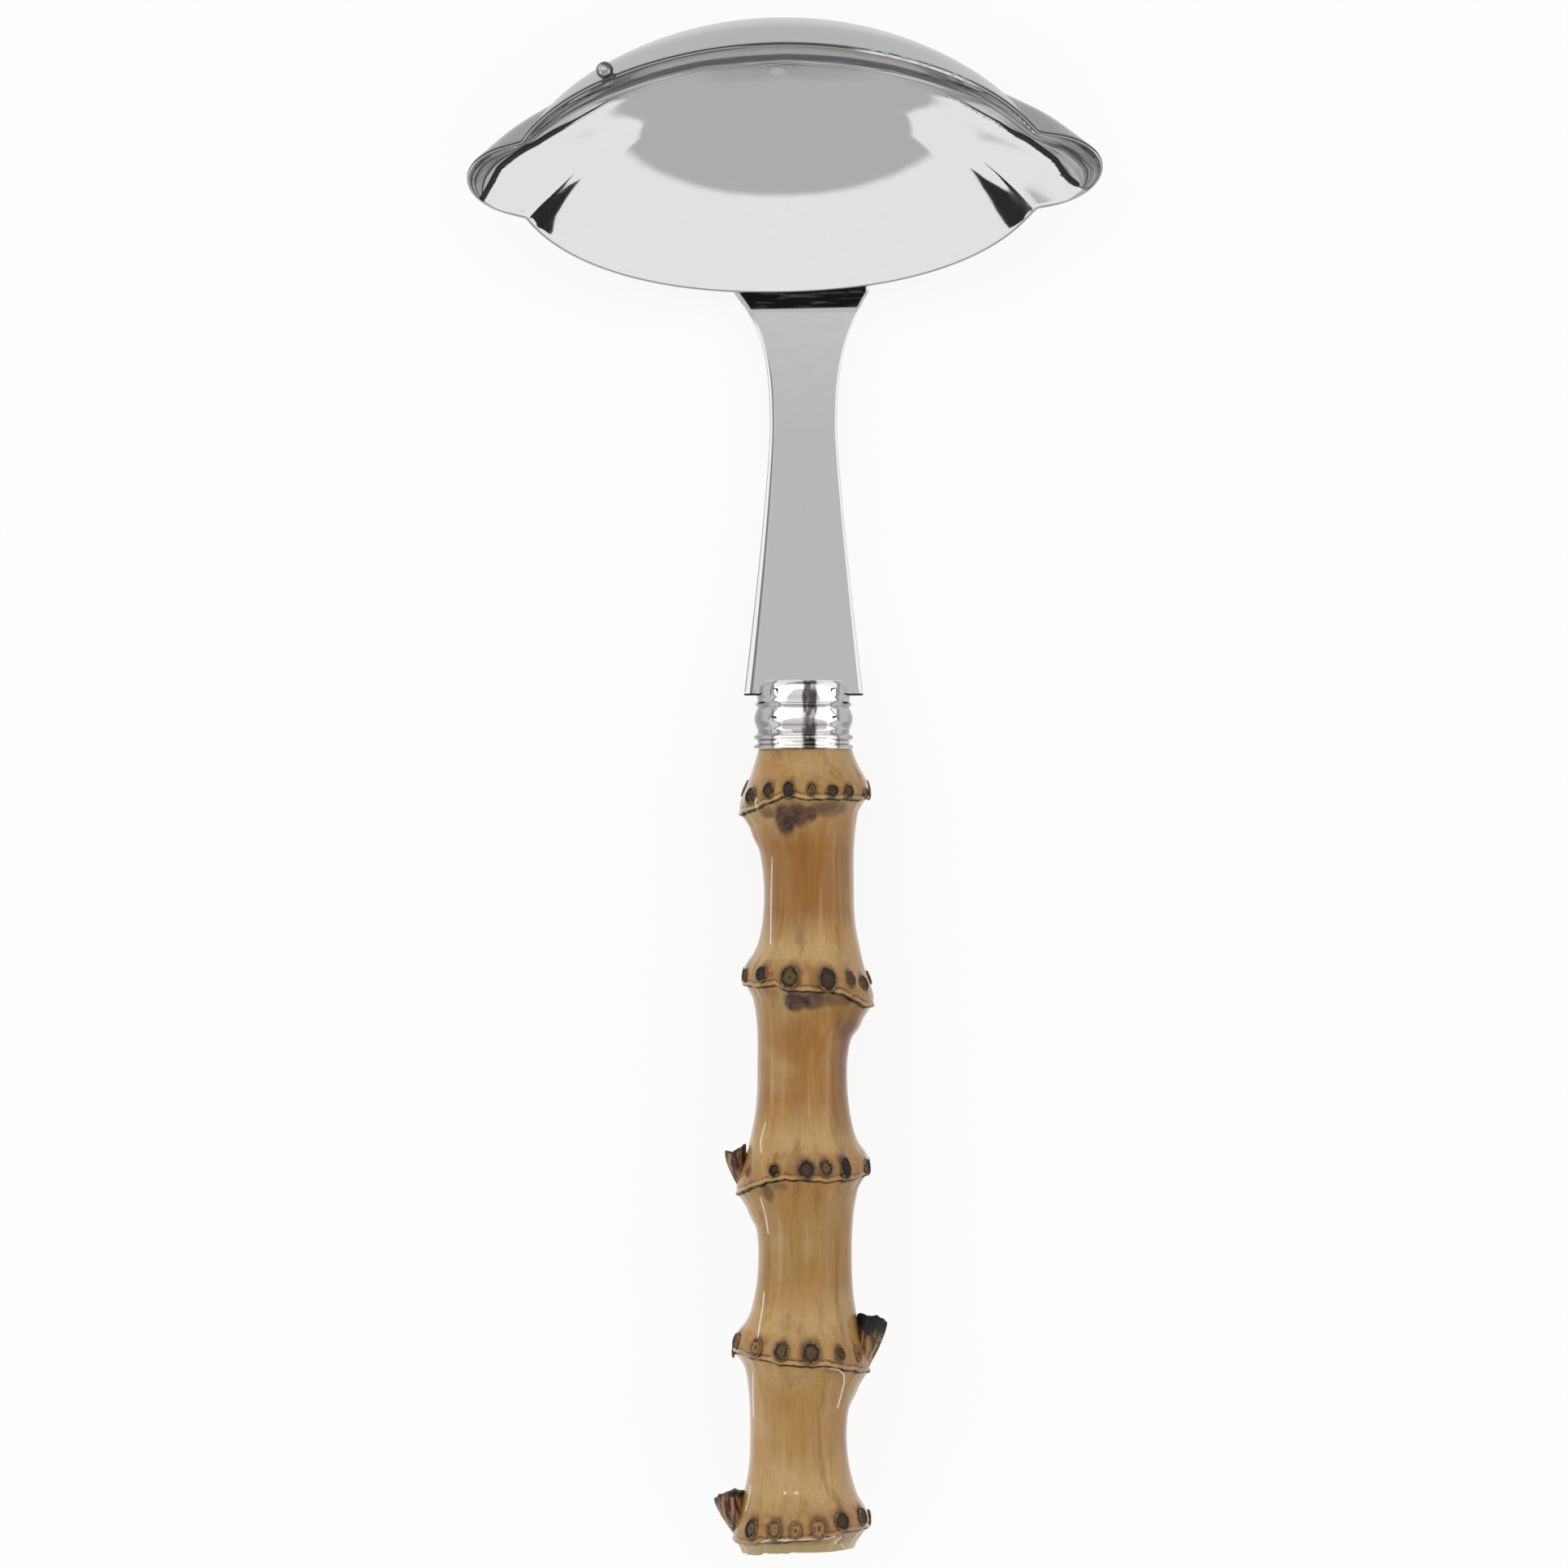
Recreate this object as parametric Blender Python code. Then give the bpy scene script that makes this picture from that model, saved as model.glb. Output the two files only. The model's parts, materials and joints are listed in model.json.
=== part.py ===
# Gravy ladle: a polished steel bowl with two pouring lips, a flat steel stem, a ribbed ferrule
# and a handle cut from one bamboo root. Metres, +Z up, lying on its back as on a table.
# Shapes are worked out in millimetres in the ladle's own axes: x to the right, s along the handle
# from its cut end to the bowl, h out of the handle axis towards the open side of the bowl.

import math

import bmesh
import bpy
import numpy as np
from mathutils import Matrix, Vector
from mathutils.bvhtree import BVHTree

MM = 0.001
SLIP = 0.3  # clearance between pieces that lie on or in one another

# Bowl
RIM_NEAR_S = 164.1  # middle of the rim on the handle side
RIM_NEAR_H = 2.0
BOWL_TILT = 44.0  # degrees the open face leans back towards the handle
BOWL_YAW = 1.1
BOWL_OFFSET = -2.8
BOWL_HALF_LENGTH = 34.2
BOWL_HALF_WIDTH = 20.65
BOWL_DEPTH = 17.8
BOWL_WALL = 1.0
BOWL_ARC_NEAR = 0.65  # how much of a half circle the wall takes on the handle side
BOWL_ARC_FAR = 0.9
BOWL_ARC_TURN = 1.5  # how quickly one wall's curve goes over into the other's across the lips
BOWL_LEAN = 1.5  # deepest point lies this far from the middle, away from the handle
RIM_RISE = 1.1
LIP_PROUD_LEFT = 5.6  # how far each pouring lip stands out past the oval
LIP_PROUD_RIGHT = 6.9
LIP_HALF_WIDTH = 5.8
LIP_LENGTH = 8.0
LIP_SOFTNESS = 0.1  # rounding where the outline of a lip starts, as a share of its length
LIP_BLEND = 2.2  # width of the fillet between oval and lip at the rim
LIP_BLEND_DEEP = 14.0  # what the fillet gains towards the bottom of the bowl
LIP_START_NEAR = 0.58  # share of the way up the wall where the pouring lips begin
LIP_START_FAR = 0.3
BOWL_CROWD = 0.3  # draws more of the mesh towards the lips
BOWL_AROUND = 96
BOWL_UP = 13

# Bead on the back of the bowl
BEAD_RADIUS = 1.1
BEAD_X = -24.9
BEAD_S = 190.1
BEAD_GAP = 0.05

# Stem
STEM_FOOT_S = 111.5
STEM_WAIST_S = 146.0
STEM_DIP_S = 160.6
STEM_FLARE_S = 164.0
STEM_END_S = 171.0
STEM_FOOT_WIDTH = 15.6
STEM_WAIST_WIDTH = 8.8
STEM_FLARE_WIDTH = 17.0
STEM_END_WIDTH = 4.2
STEM_FOOT_THICK = 4.0
STEM_WAIST_THICK = 2.8
STEM_END_THICK = 1.0
BEVEL_FOOT = 1.4
BEVEL_TOP = 0.65
BEVEL_RIGHT = 0.25
BEVEL_DROP = 0.7  # depth of the left bevel as a share of its width
RIM_MARGIN = 0.7  # how far inside the rim the stem starts to follow the back of the bowl
STEM_ACROSS = 9

# Ferrule
FERRULE_FOOT_S = 104.9
FERRULE_LENGTH = 8.6
FERRULE_RADIUS = 6.0
FERRULE_BORE = 5.2
FERRULE_CAVITY = 4.7
FERRULE_SHOULDER = 1.2
FERRULE_LIP = 0.5
FERRULE_LIP_LENGTH = 0.7
# Ribs: start above the foot, length, height over the barrel
FERRULE_RIBS = ((0.8, 0.9, 0.5), (2.2, 2.7, 0.4), (5.1, 0.7, 0.25))
RIB_STEP = 0.4
FERRULE_AROUND = 40

# Tang and the socket in the handle that takes it
TANG_RADIUS = 1.5
TANG_LENGTH = 40.7
SOCKET_RADIUS = 3.2
SOCKET_MARGIN = 2.5
SPIGOT_LENGTH = 1.8
ROUND_AROUND = 24

# Bamboo: five knots and the waists between them, from the cut end upwards
NODE_S = (2.8, 24.7, 48.2, 72.9, 97.5)
NODE_RADIUS = (8.9, 8.9, 8.75, 8.65, 8.45)
NODE_SHIFT = (-0.4, -0.3, -0.1, 0.6, 0.1)
NODE_SLOPE = (0.05, -0.15, 0.1, -0.16, 0.02)
WAIST_S = (0.0, 15.5, 38.8, 62.6, 85.8, FERRULE_FOOT_S - SLIP)
WAIST_RADIUS = (6.7, 6.3, 6.2, 5.95, 5.9, 6.1)
WAIST_SHIFT = (-0.3, -0.75, 0.15, -0.2, 0.7, 0.3)
# Outline over a knot: distance from its ring, change of radius
NODE_SHAPE = ((-1.5, -1.3), (-0.5, -0.6), (0, -0.1), (0.9, 0), (2, -0.15), (3, -0.6), (4.2, -1.25))
FLARE_POWER = 2.4
NECK_POWER = 1.2
FLARE_STEP = 1.7
# Stubs of cut branches: place along the handle, angle round it, height, half length, half angle
STUBS = (
    (50.7, 172.0, 1.5, 3.1, 22.0),
    (28.9, 4.0, 2.2, 3.7, 26.0),
    (6.3, 176.0, 2.2, 3.5, 24.0),
)
HANDLE_AROUND = 32

ferrule_top = FERRULE_FOOT_S + FERRULE_LENGTH
ferrule_roof = FERRULE_FOOT_S + FERRULE_CAVITY
slot_floor = STEM_FOOT_S - SLIP
tang_end = slot_floor - TANG_LENGTH
tang_hole = TANG_RADIUS + SLIP
spigot_top = FERRULE_FOOT_S + SPIGOT_LENGTH
socket_end = tang_end - SOCKET_MARGIN


def lerp(a, b, t):
    return a + (b - a) * t


def smooth(t):
    t = np.clip(t, 0.0, 1.0)
    return t * t * (3 - 2 * t)


def soft_max(a, b, width):
    """The larger of two values, with a fillet where they cross."""
    return np.maximum(a, b) + width * np.maximum(1 - np.abs(a - b) / width, 0) ** 2 / 4


def piece(name, work, colour, metallic, roughness):
    """A named object from a bmesh in millimetres, with its own material."""
    bmesh.ops.scale(work, vec=(MM, MM, MM), verts=work.verts)
    bmesh.ops.recalc_face_normals(work, faces=work.faces)
    mesh = bpy.data.meshes.new(name)
    work.to_mesh(mesh)
    work.free()
    material = bpy.data.materials.new(name)
    material.use_nodes = True
    shader = material.node_tree.nodes["Principled BSDF"]
    shader.inputs["Base Color"].default_value = (*colour, 1.0)
    shader.inputs["Metallic"].default_value = metallic
    shader.inputs["Roughness"].default_value = roughness
    mesh.materials.append(material)
    obj = bpy.data.objects.new(name, mesh)
    bpy.context.scene.collection.objects.link(obj)
    return obj


def loft(rings):
    """A closed skin through equal rings of points, capped at both ends."""
    work = bmesh.new()
    loops = [[work.verts.new(p) for p in ring] for ring in rings]
    for low, high in zip(loops, loops[1:]):
        for j in range(len(low)):
            work.faces.new((low[j - 1], low[j], high[j], high[j - 1]))
    work.faces.new(loops[0])
    work.faces.new(loops[-1])
    return work


def lathe(outline, around):
    """A solid of (s, radius) points turned about the handle axis, open or closed on the axis."""
    work = bmesh.new()
    points = [work.verts.new((r, s, 0.0)) for s, r in outline]
    edges = [work.edges.new(pair) for pair in zip(points, points[1:])]
    if outline[0][1] > 0:
        edges.append(work.edges.new((points[-1], points[0])))
    bmesh.ops.spin(
        work,
        geom=points + edges,
        cent=(0, 0, 0),
        axis=(0, 1, 0),
        angle=2 * math.pi,
        steps=around,
        use_merge=True,
    )
    bmesh.ops.remove_doubles(work, verts=work.verts, dist=1e-4)
    return work


def body_reach(theta):
    """Distance from the middle of the bowl to its oval rim."""
    c, s = np.cos(theta), np.sin(theta)
    return 1 / np.sqrt((c / BOWL_HALF_LENGTH) ** 2 + (s / BOWL_HALF_WIDTH) ** 2)


def lip_reach(theta, rho):
    """Distance to the rim with the two rounded pouring lips added."""
    c, s = np.abs(np.cos(theta)), np.sin(theta)
    proud = np.where(np.cos(theta) < 0, LIP_PROUD_LEFT, LIP_PROUD_RIGHT)
    middle = BOWL_HALF_LENGTH + proud - LIP_LENGTH
    a = (c / LIP_LENGTH) ** 2 + (s / LIP_HALF_WIDTH) ** 2
    b = middle * c / LIP_LENGTH**2
    inside = b * b - a * ((middle / LIP_LENGTH) ** 2 - 1)
    soft = LIP_SOFTNESS / LIP_LENGTH**2
    far = (b + np.sqrt((inside + np.sqrt(inside**2 + soft**2)) / 2)) / a
    return soft_max(body_reach(theta), far, LIP_BLEND + LIP_BLEND_DEEP * (1 - rho))


def wall_fall(rho, arc):
    """Depth of a wall that takes part of a half circle, from 1 at the bottom to 0 at the rim."""
    base = math.sqrt(1 - arc**2)
    return (np.sqrt(1 - (arc * rho) ** 2) - base) / (1 - base)


def bowl_inside(theta, rho):
    """Points of the inner surface: theta round the bowl, rho from the bottom (0) to the rim (1)."""
    body = body_reach(theta)
    near = smooth(0.5 - BOWL_ARC_TURN * body * np.sin(theta) / BOWL_HALF_WIDTH)
    near_lips = np.clip((rho - LIP_START_NEAR) / (1 - LIP_START_NEAR), 0, 1) ** 2
    far_lips = smooth((rho - LIP_START_FAR) / (1 - LIP_START_FAR))
    lips = lerp(far_lips, near_lips, near)
    reach = rho * lerp(body, lip_reach(theta, rho), lips)
    u = reach * np.cos(theta)
    v = reach * np.sin(theta) + BOWL_LEAN * (1 - rho * rho)
    fall = lerp(wall_fall(rho, BOWL_ARC_FAR), wall_fall(rho, BOWL_ARC_NEAR), near)
    w = BOWL_DEPTH * fall - RIM_RISE * rho * rho * smooth(np.abs(u) / BOWL_HALF_LENGTH)
    return np.stack([u, v, w], axis=-1)


def bowl_place():
    """From the bowl's own axes (along, across, down) into those of the ladle."""
    tilt = math.radians(BOWL_TILT)
    lean = Matrix(
        (
            (1, 0, 0),
            (0, math.cos(tilt), math.sin(tilt)),
            (0, math.sin(tilt), -math.cos(tilt)),
        )
    )
    seat = Matrix.Translation((BOWL_OFFSET, RIM_NEAR_S, RIM_NEAR_H))
    turn = Matrix.Rotation(math.radians(BOWL_YAW), 4, "Z")
    return seat @ turn @ lean.to_4x4() @ Matrix.Translation((0, BOWL_HALF_WIDTH, 0))


def bowl_surface():
    """The inner surface of the pressed bowl, its faces turned to the back for the wall to grow on."""
    theta = np.linspace(0, 2 * math.pi, BOWL_AROUND, endpoint=False)
    theta -= BOWL_CROWD * np.sin(2 * theta)
    work = bmesh.new()
    inner = [work.verts.new(bowl_inside(0.0, 0.0))]
    for step in range(1, BOWL_UP + 1):
        ring = [work.verts.new(p) for p in bowl_inside(theta, (step / BOWL_UP) ** 0.85)]
        for j in range(BOWL_AROUND):
            if step == 1:
                work.faces.new((inner[0], ring[j - 1], ring[j]))
            else:
                work.faces.new((inner[j - 1], ring[j - 1], ring[j], inner[j]))
        inner = ring
    bmesh.ops.transform(work, matrix=bowl_place(), verts=work.verts)
    return work


def stem_width(s):
    if s < STEM_WAIST_S:
        part = (STEM_WAIST_S - s) / (STEM_WAIST_S - STEM_FOOT_S)
        return lerp(STEM_WAIST_WIDTH, STEM_FOOT_WIDTH, part**1.25)
    if s < STEM_FLARE_S:
        part = (s - STEM_WAIST_S) / (STEM_FLARE_S - STEM_WAIST_S)
        return lerp(STEM_WAIST_WIDTH, STEM_FLARE_WIDTH, part**2.8)
    part = (s - STEM_FLARE_S) / (STEM_END_S - STEM_FLARE_S)
    return lerp(STEM_END_WIDTH, STEM_FLARE_WIDTH, math.sqrt(1 - part**2.4))


def stem_thickness(s):
    if s < STEM_WAIST_S:
        part = smooth((STEM_WAIST_S - s) / (STEM_WAIST_S - STEM_FOOT_S))
        return lerp(STEM_WAIST_THICK, STEM_FOOT_THICK, part)
    part = smooth((s - STEM_WAIST_S) / (STEM_END_S - STEM_WAIST_S))
    return lerp(STEM_WAIST_THICK, STEM_END_THICK, part)


def bowl_underside(tree, x, s):
    """Height of the back of the bowl over a point of the stem, held level short of the rim."""
    across = x - BOWL_OFFSET
    rim = RIM_NEAR_S + across * math.sin(math.radians(BOWL_YAW))
    bend = 1 - math.sqrt(1 - (across / BOWL_HALF_LENGTH) ** 2)
    rim += BOWL_HALF_WIDTH * bend * math.cos(math.radians(BOWL_TILT))
    start = Vector((x, max(s, rim + RIM_MARGIN), -BOWL_HALF_LENGTH)) * MM
    return tree.ray_cast(start, Vector((0, 0, 1)))[0].z / MM


def stem_rings(tree):
    """Sections of the flat bar, whose end dips under the rim and follows the back of the bowl."""
    stations = [
        *np.linspace(STEM_FOOT_S, STEM_WAIST_S, 13)[:-1],
        *np.linspace(STEM_WAIST_S, STEM_FLARE_S, 19)[:-1],
        *np.linspace(STEM_FLARE_S, STEM_END_S, 9),
    ]
    rings = []
    for s in stations:
        half = stem_width(s) / 2
        thick = stem_thickness(s)
        dip = smooth((s - STEM_DIP_S) / (STEM_FLARE_S - STEM_DIP_S))
        along = min((s - STEM_FOOT_S) / (STEM_WAIST_S - STEM_FOOT_S), 1.0)
        left = lerp(lerp(BEVEL_FOOT, BEVEL_TOP, along), BEVEL_RIGHT, dip)
        across = np.linspace(-half + left, half - BEVEL_RIGHT, STEM_ACROSS)
        tops = []
        floors = []
        for x in (-half, *across, half):
            top = lerp(thick / 2, bowl_underside(tree, x, s) - SLIP, dip)
            floors.append((x, s, top - thick))
            if x == -half:
                top -= left * BEVEL_DROP
            if x == half:
                top -= BEVEL_RIGHT
            tops.append((x, s, top))
        rings.append(tops + floors[::-1])
    return rings


def ferrule_outline():
    """Closed outline of the ferrule: up the ribbed outside, over the dome, down the inside."""
    line = [
        (FERRULE_FOOT_S, FERRULE_BORE),
        (FERRULE_FOOT_S, FERRULE_RADIUS + FERRULE_LIP * 0.9),
        (FERRULE_FOOT_S + FERRULE_LIP_LENGTH / 2, FERRULE_RADIUS + FERRULE_LIP),
        (FERRULE_FOOT_S + FERRULE_LIP_LENGTH, FERRULE_RADIUS + FERRULE_LIP * 0.3),
    ]
    for start, length, height in FERRULE_RIBS:
        steps = max(3, round(length / RIB_STEP))
        for i in range(steps + 1):
            rise = height * math.sin(math.pi * i / steps)
            line.append((FERRULE_FOOT_S + start + length * i / steps, FERRULE_RADIUS + rise))
    for i in range(5):
        turn = math.radians(90 * i / 4)
        line.append(
            (
                ferrule_top - FERRULE_SHOULDER * (1 - math.sin(turn)),
                FERRULE_RADIUS - FERRULE_SHOULDER * (1 - math.cos(turn)),
            )
        )
    line.append((ferrule_top, tang_hole))
    line.append((ferrule_roof, tang_hole))
    line.append((ferrule_roof, FERRULE_BORE))
    return line


def handle_centre(s):
    """Sideways offset of the bamboo at s, smooth through waists and knots."""
    places = sorted(zip(WAIST_S + NODE_S, WAIST_SHIFT + NODE_SHIFT))
    for (s0, x0), (s1, x1) in zip(places, places[1:]):
        if s <= s1:
            return lerp(x0, x1, smooth((s - s0) / (s1 - s0)))
    return places[-1][1]


def flare(waist, knot, power):
    """Stations between a waist and the edge of a knot, without the waist itself."""
    steps = max(2, round(abs(knot[0] - waist[0]) / FLARE_STEP))
    for i in range(1, steps + 1):
        t = (i / steps) ** 0.7
        yield lerp(waist[0], knot[0], t), lerp(waist[1], knot[1], t**power), t


def handle_stations():
    """(s, radius, slope weight) of every ring of the bamboo from the cut end to the ferrule."""
    waists = list(zip(WAIST_S, WAIST_RADIUS))
    line = []
    for i, (ring_s, ring_r) in enumerate(zip(NODE_S, NODE_RADIUS)):
        shape = [(ring_s + along, ring_r + change) for along, change in NODE_SHAPE]
        line.append((*waists[i], 0.0))
        line += flare(waists[i], shape[0], FLARE_POWER)
        line += [(s, r, 1.0) for s, r in shape[1:-1]]
        power = NECK_POWER if i == len(NODE_S) - 1 else FLARE_POWER
        line += list(flare(waists[i + 1], shape[-1], power))[::-1]
    line.append((*waists[-1], 0.0))
    return line


def stub_height(s, angle):
    """Extra radius of the stubs of cut branches."""
    total = 0.0
    for stub_s, stub_angle, height, half_length, half_angle in STUBS:
        turn = (math.degrees(angle) - stub_angle + 180) % 360 - 180
        total += height * math.exp(-(((s - stub_s) / half_length) ** 4) - (turn / half_angle) ** 4)
    return total


def handle_rings():
    """Sections of one length of bamboo root, with the spigot and socket at its upper end."""
    angles = [2 * math.pi * j / HANDLE_AROUND for j in range(HANDLE_AROUND)]
    rings = []
    for s, radius, weight in handle_stations():
        nearest = min(range(len(NODE_S)), key=lambda i: abs(NODE_S[i] - s))
        ring = []
        for a in angles:
            place = s + NODE_SLOPE[nearest] * weight * radius * math.cos(a)
            reach = radius + stub_height(place, a)
            x = handle_centre(s) + reach * math.cos(a)
            ring.append((x, place, reach * math.sin(a)))
        rings.append(ring)
    spigot = FERRULE_BORE - SLIP
    for s, radius in (
        (WAIST_S[-1], spigot),
        (spigot_top, spigot),
        (spigot_top, SOCKET_RADIUS),
        (socket_end, SOCKET_RADIUS),
    ):
        rings.append([(radius * math.cos(a), s, radius * math.sin(a)) for a in angles])
    return rings


def rest_tilt(front, back):
    """Angle that lays the bowl end and the handle end on one level."""
    tilt = 0.0
    for _ in range(30):
        low = []
        for points in (front, back):
            level = points[:, 2] * math.cos(tilt) - points[:, 1] * math.sin(tilt)
            low.append(points[int(np.argmin(level))])
        tilt = math.atan2(low[0][2] - low[1][2], low[0][1] - low[1][1])
    return tilt


def shape_points(obj):
    """Vertices of an object with its modifiers, in its own axes."""
    mesh = obj.evaluated_get(bpy.context.evaluated_depsgraph_get()).data
    return np.array([v.co[:] for v in mesh.vertices])


for old in list(bpy.data.objects):
    bpy.data.objects.remove(old, do_unlink=True)

# Bowl, pressed from sheet
bowl = piece("bowl", bowl_surface(), (0.62, 0.62, 0.61), 1.0, 0.12)
sheet = bowl.modifiers.new("sheet", "SOLIDIFY")
sheet.thickness = BOWL_WALL * MM
sheet.offset = 1.0
bowl_tree = BVHTree.FromObject(bowl, bpy.context.evaluated_depsgraph_get())

# Bead on the back of the bowl
drop = Vector((BEAD_X, BEAD_S, 2 * BOWL_HALF_WIDTH)) * MM
spot, out, _, _ = bowl_tree.ray_cast(drop, Vector((0, 0, -1)))
ball = bmesh.new()
seat = Matrix.Translation(spot / MM + out * (BEAD_RADIUS + BEAD_GAP))
bmesh.ops.create_icosphere(ball, subdivisions=2, radius=BEAD_RADIUS, matrix=seat)
piece("bowl_bead", ball, (0.62, 0.62, 0.61), 1.0, 0.12)

# Stem, a flat bar brazed under the rim
stem = piece("stem", loft(stem_rings(bowl_tree)), (0.6, 0.6, 0.59), 1.0, 0.15)

# Ferrule: turned collar, open below, slotted across its top for the foot of the stem
ferrule = piece(
    "ferrule", lathe(ferrule_outline(), FERRULE_AROUND), (0.58, 0.58, 0.57), 1.0, 0.2
)
slot = bmesh.new()
slot_length = ferrule_top + SLIP - slot_floor
slot_size = (4 * FERRULE_RADIUS, slot_length, STEM_FOOT_THICK + 2 * SLIP)
slot_place = Matrix.Translation((0, slot_floor + slot_length / 2, 0)) @ Matrix.Diagonal((*slot_size, 1))
bmesh.ops.create_cube(slot, size=1.0, matrix=slot_place)
slot_cutter = piece("slot_cutter", slot, (0.5, 0.5, 0.5), 0.0, 0.5)
slot_cutter.hide_render = True
slot_cutter.display_type = "WIRE"
cut = ferrule.modifiers.new("slot", "BOOLEAN")
cut.operation = "DIFFERENCE"
cut.solver = "EXACT"
cut.object = slot_cutter

# Tang, a round rod down the middle of the handle
rod = [(tang_end, 0.0), (tang_end, TANG_RADIUS), (slot_floor, TANG_RADIUS), (slot_floor, 0.0)]
piece("tang", lathe(rod, ROUND_AROUND), (0.5, 0.5, 0.49), 1.0, 0.35)

# Resin that fills the ferrule and the socket round the tang
resin_outline = [
    (tang_end - SLIP, 0.0),
    (tang_end - SLIP, tang_hole),
    (ferrule_roof - SLIP, tang_hole),
    (ferrule_roof - SLIP, FERRULE_BORE - SLIP),
    (spigot_top + SLIP, FERRULE_BORE - SLIP),
    (spigot_top + SLIP, SOCKET_RADIUS - SLIP),
    (socket_end + SLIP, SOCKET_RADIUS - SLIP),
    (socket_end + SLIP, 0.0),
]
piece("tang_resin", lathe(resin_outline, ROUND_AROUND), (0.35, 0.27, 0.16), 0.0, 0.5)

# Handle, one length of bamboo root
handle = piece("bamboo_handle", loft(handle_rings()), (0.62, 0.42, 0.22), 0.0, 0.3)

# Set the ladle down on its back, on the bowl and the first knot
solids = [o for o in bpy.data.objects if not o.hide_render]
tilt = rest_tilt(np.vstack([shape_points(bowl), shape_points(stem)]), shape_points(handle))
points = np.vstack([shape_points(o) for o in solids])
x = points[:, 0]
y = points[:, 1] * math.cos(tilt) + points[:, 2] * math.sin(tilt)
z = points[:, 2] * math.cos(tilt) - points[:, 1] * math.sin(tilt)
table = Vector((-(x.min() + x.max()) / 2, -(y.min() + y.max()) / 2, -z.min()))
for obj in solids + [slot_cutter]:
    obj.rotation_euler = (-tilt, 0, 0)
    obj.location = table
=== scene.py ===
# Gravy ladle lying on its back on a pale table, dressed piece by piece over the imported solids.
# Shapes are worked out in millimetres in the ladle's own axes: x to the right, s along the handle
# from its cut end to the bowl, h out of the handle axis towards the open side of the bowl.

import json
import math

import bmesh
import bpy
import numpy as np
from mathutils import Matrix, Vector


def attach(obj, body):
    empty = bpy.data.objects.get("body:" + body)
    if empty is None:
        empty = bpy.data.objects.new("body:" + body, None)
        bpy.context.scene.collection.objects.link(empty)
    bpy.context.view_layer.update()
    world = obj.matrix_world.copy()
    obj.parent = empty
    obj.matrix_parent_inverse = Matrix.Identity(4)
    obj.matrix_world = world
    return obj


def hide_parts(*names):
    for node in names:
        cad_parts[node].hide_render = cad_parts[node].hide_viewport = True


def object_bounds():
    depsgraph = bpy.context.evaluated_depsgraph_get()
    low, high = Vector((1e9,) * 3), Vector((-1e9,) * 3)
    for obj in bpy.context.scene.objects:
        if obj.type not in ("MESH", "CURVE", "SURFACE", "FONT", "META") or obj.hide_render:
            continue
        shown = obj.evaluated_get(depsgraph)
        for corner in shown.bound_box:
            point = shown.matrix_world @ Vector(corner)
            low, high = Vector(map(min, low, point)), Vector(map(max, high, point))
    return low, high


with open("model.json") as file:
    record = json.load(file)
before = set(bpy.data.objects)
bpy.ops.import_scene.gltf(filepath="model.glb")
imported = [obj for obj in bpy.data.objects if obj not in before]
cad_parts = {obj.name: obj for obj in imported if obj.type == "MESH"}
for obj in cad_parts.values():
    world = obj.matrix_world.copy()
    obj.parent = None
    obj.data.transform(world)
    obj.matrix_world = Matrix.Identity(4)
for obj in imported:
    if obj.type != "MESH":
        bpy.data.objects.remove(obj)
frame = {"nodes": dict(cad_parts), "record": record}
cad_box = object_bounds()

# Bowl: stainless sheet pressed into an oval with a rounded pouring lip at each end, mirror
# polished inside and out, its cut edge rounded over.
RIM_NEAR_S = 164.1  # middle of the rim on the handle side
RIM_NEAR_H = 2.0
BOWL_TILT = 44.0  # degrees the open face leans back towards the handle
BOWL_YAW = 1.1
BOWL_OFFSET = -2.8
BOWL_HALF_LENGTH = 34.2
BOWL_HALF_WIDTH = 20.65
BOWL_DEPTH = 17.8
BOWL_WALL = 1.0
BOWL_ARC_NEAR = 0.65  # how much of a half circle the wall takes on the handle side
BOWL_ARC_FAR = 0.9
BOWL_ARC_TURN = 1.5  # how quickly one wall's curve goes over into the other's across the lips
BOWL_LEAN = 1.5  # deepest point lies this far from the middle, away from the handle
RIM_RISE = 1.1
RIM_EDGE = 0.6  # thickness that the sheet is ground down to along its rim
RIM_BULGE = 0.12
LIP_PROUD_LEFT = 5.6  # how far each pouring lip stands out past the oval
LIP_PROUD_RIGHT = 6.9
LIP_HALF_WIDTH = 5.8
LIP_LENGTH = 8.0
LIP_SOFTNESS = 0.1  # rounding where the outline of a lip starts, as a share of its length
LIP_BLEND = 2.2  # width of the fillet between oval and lip at the rim
LIP_BLEND_DEEP = 14.0  # what the fillet gains towards the bottom of the bowl
LIP_START_NEAR = 0.58  # share of the way up the wall where the pouring lips begin
LIP_START_FAR = 0.3
BOWL_CROWD = 0.3  # draws more of the mesh towards the lips
BOWL_AROUND = 400
BOWL_UP = 76
STEEL = (0.60, 0.597, 0.596)
# Near black painted into the polish: the bowl's dark reflected line and a line along the stem's foot
PAINTED_BLACK = (0.015, 0.015, 0.015)
# Painted shade on the back of the bowl: low down, high up, and towards the ends
BACK_LOW, BACK_HIGH, BACK_END = (0.28, 0.28, 0.282), (0.42, 0.418, 0.42), (0.3, 0.3, 0.3)
TURN_S = 176.0  # on the far side of this, painted reflection bands lie under the rim
DULL_SPOT = (30.5, 176.5)  # a worn place in the right lip
VIEW_X, VIEW_S, VIEW_FAR = -2.54, 100.0, 1300.0  # where the ladle is looked at from
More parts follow.
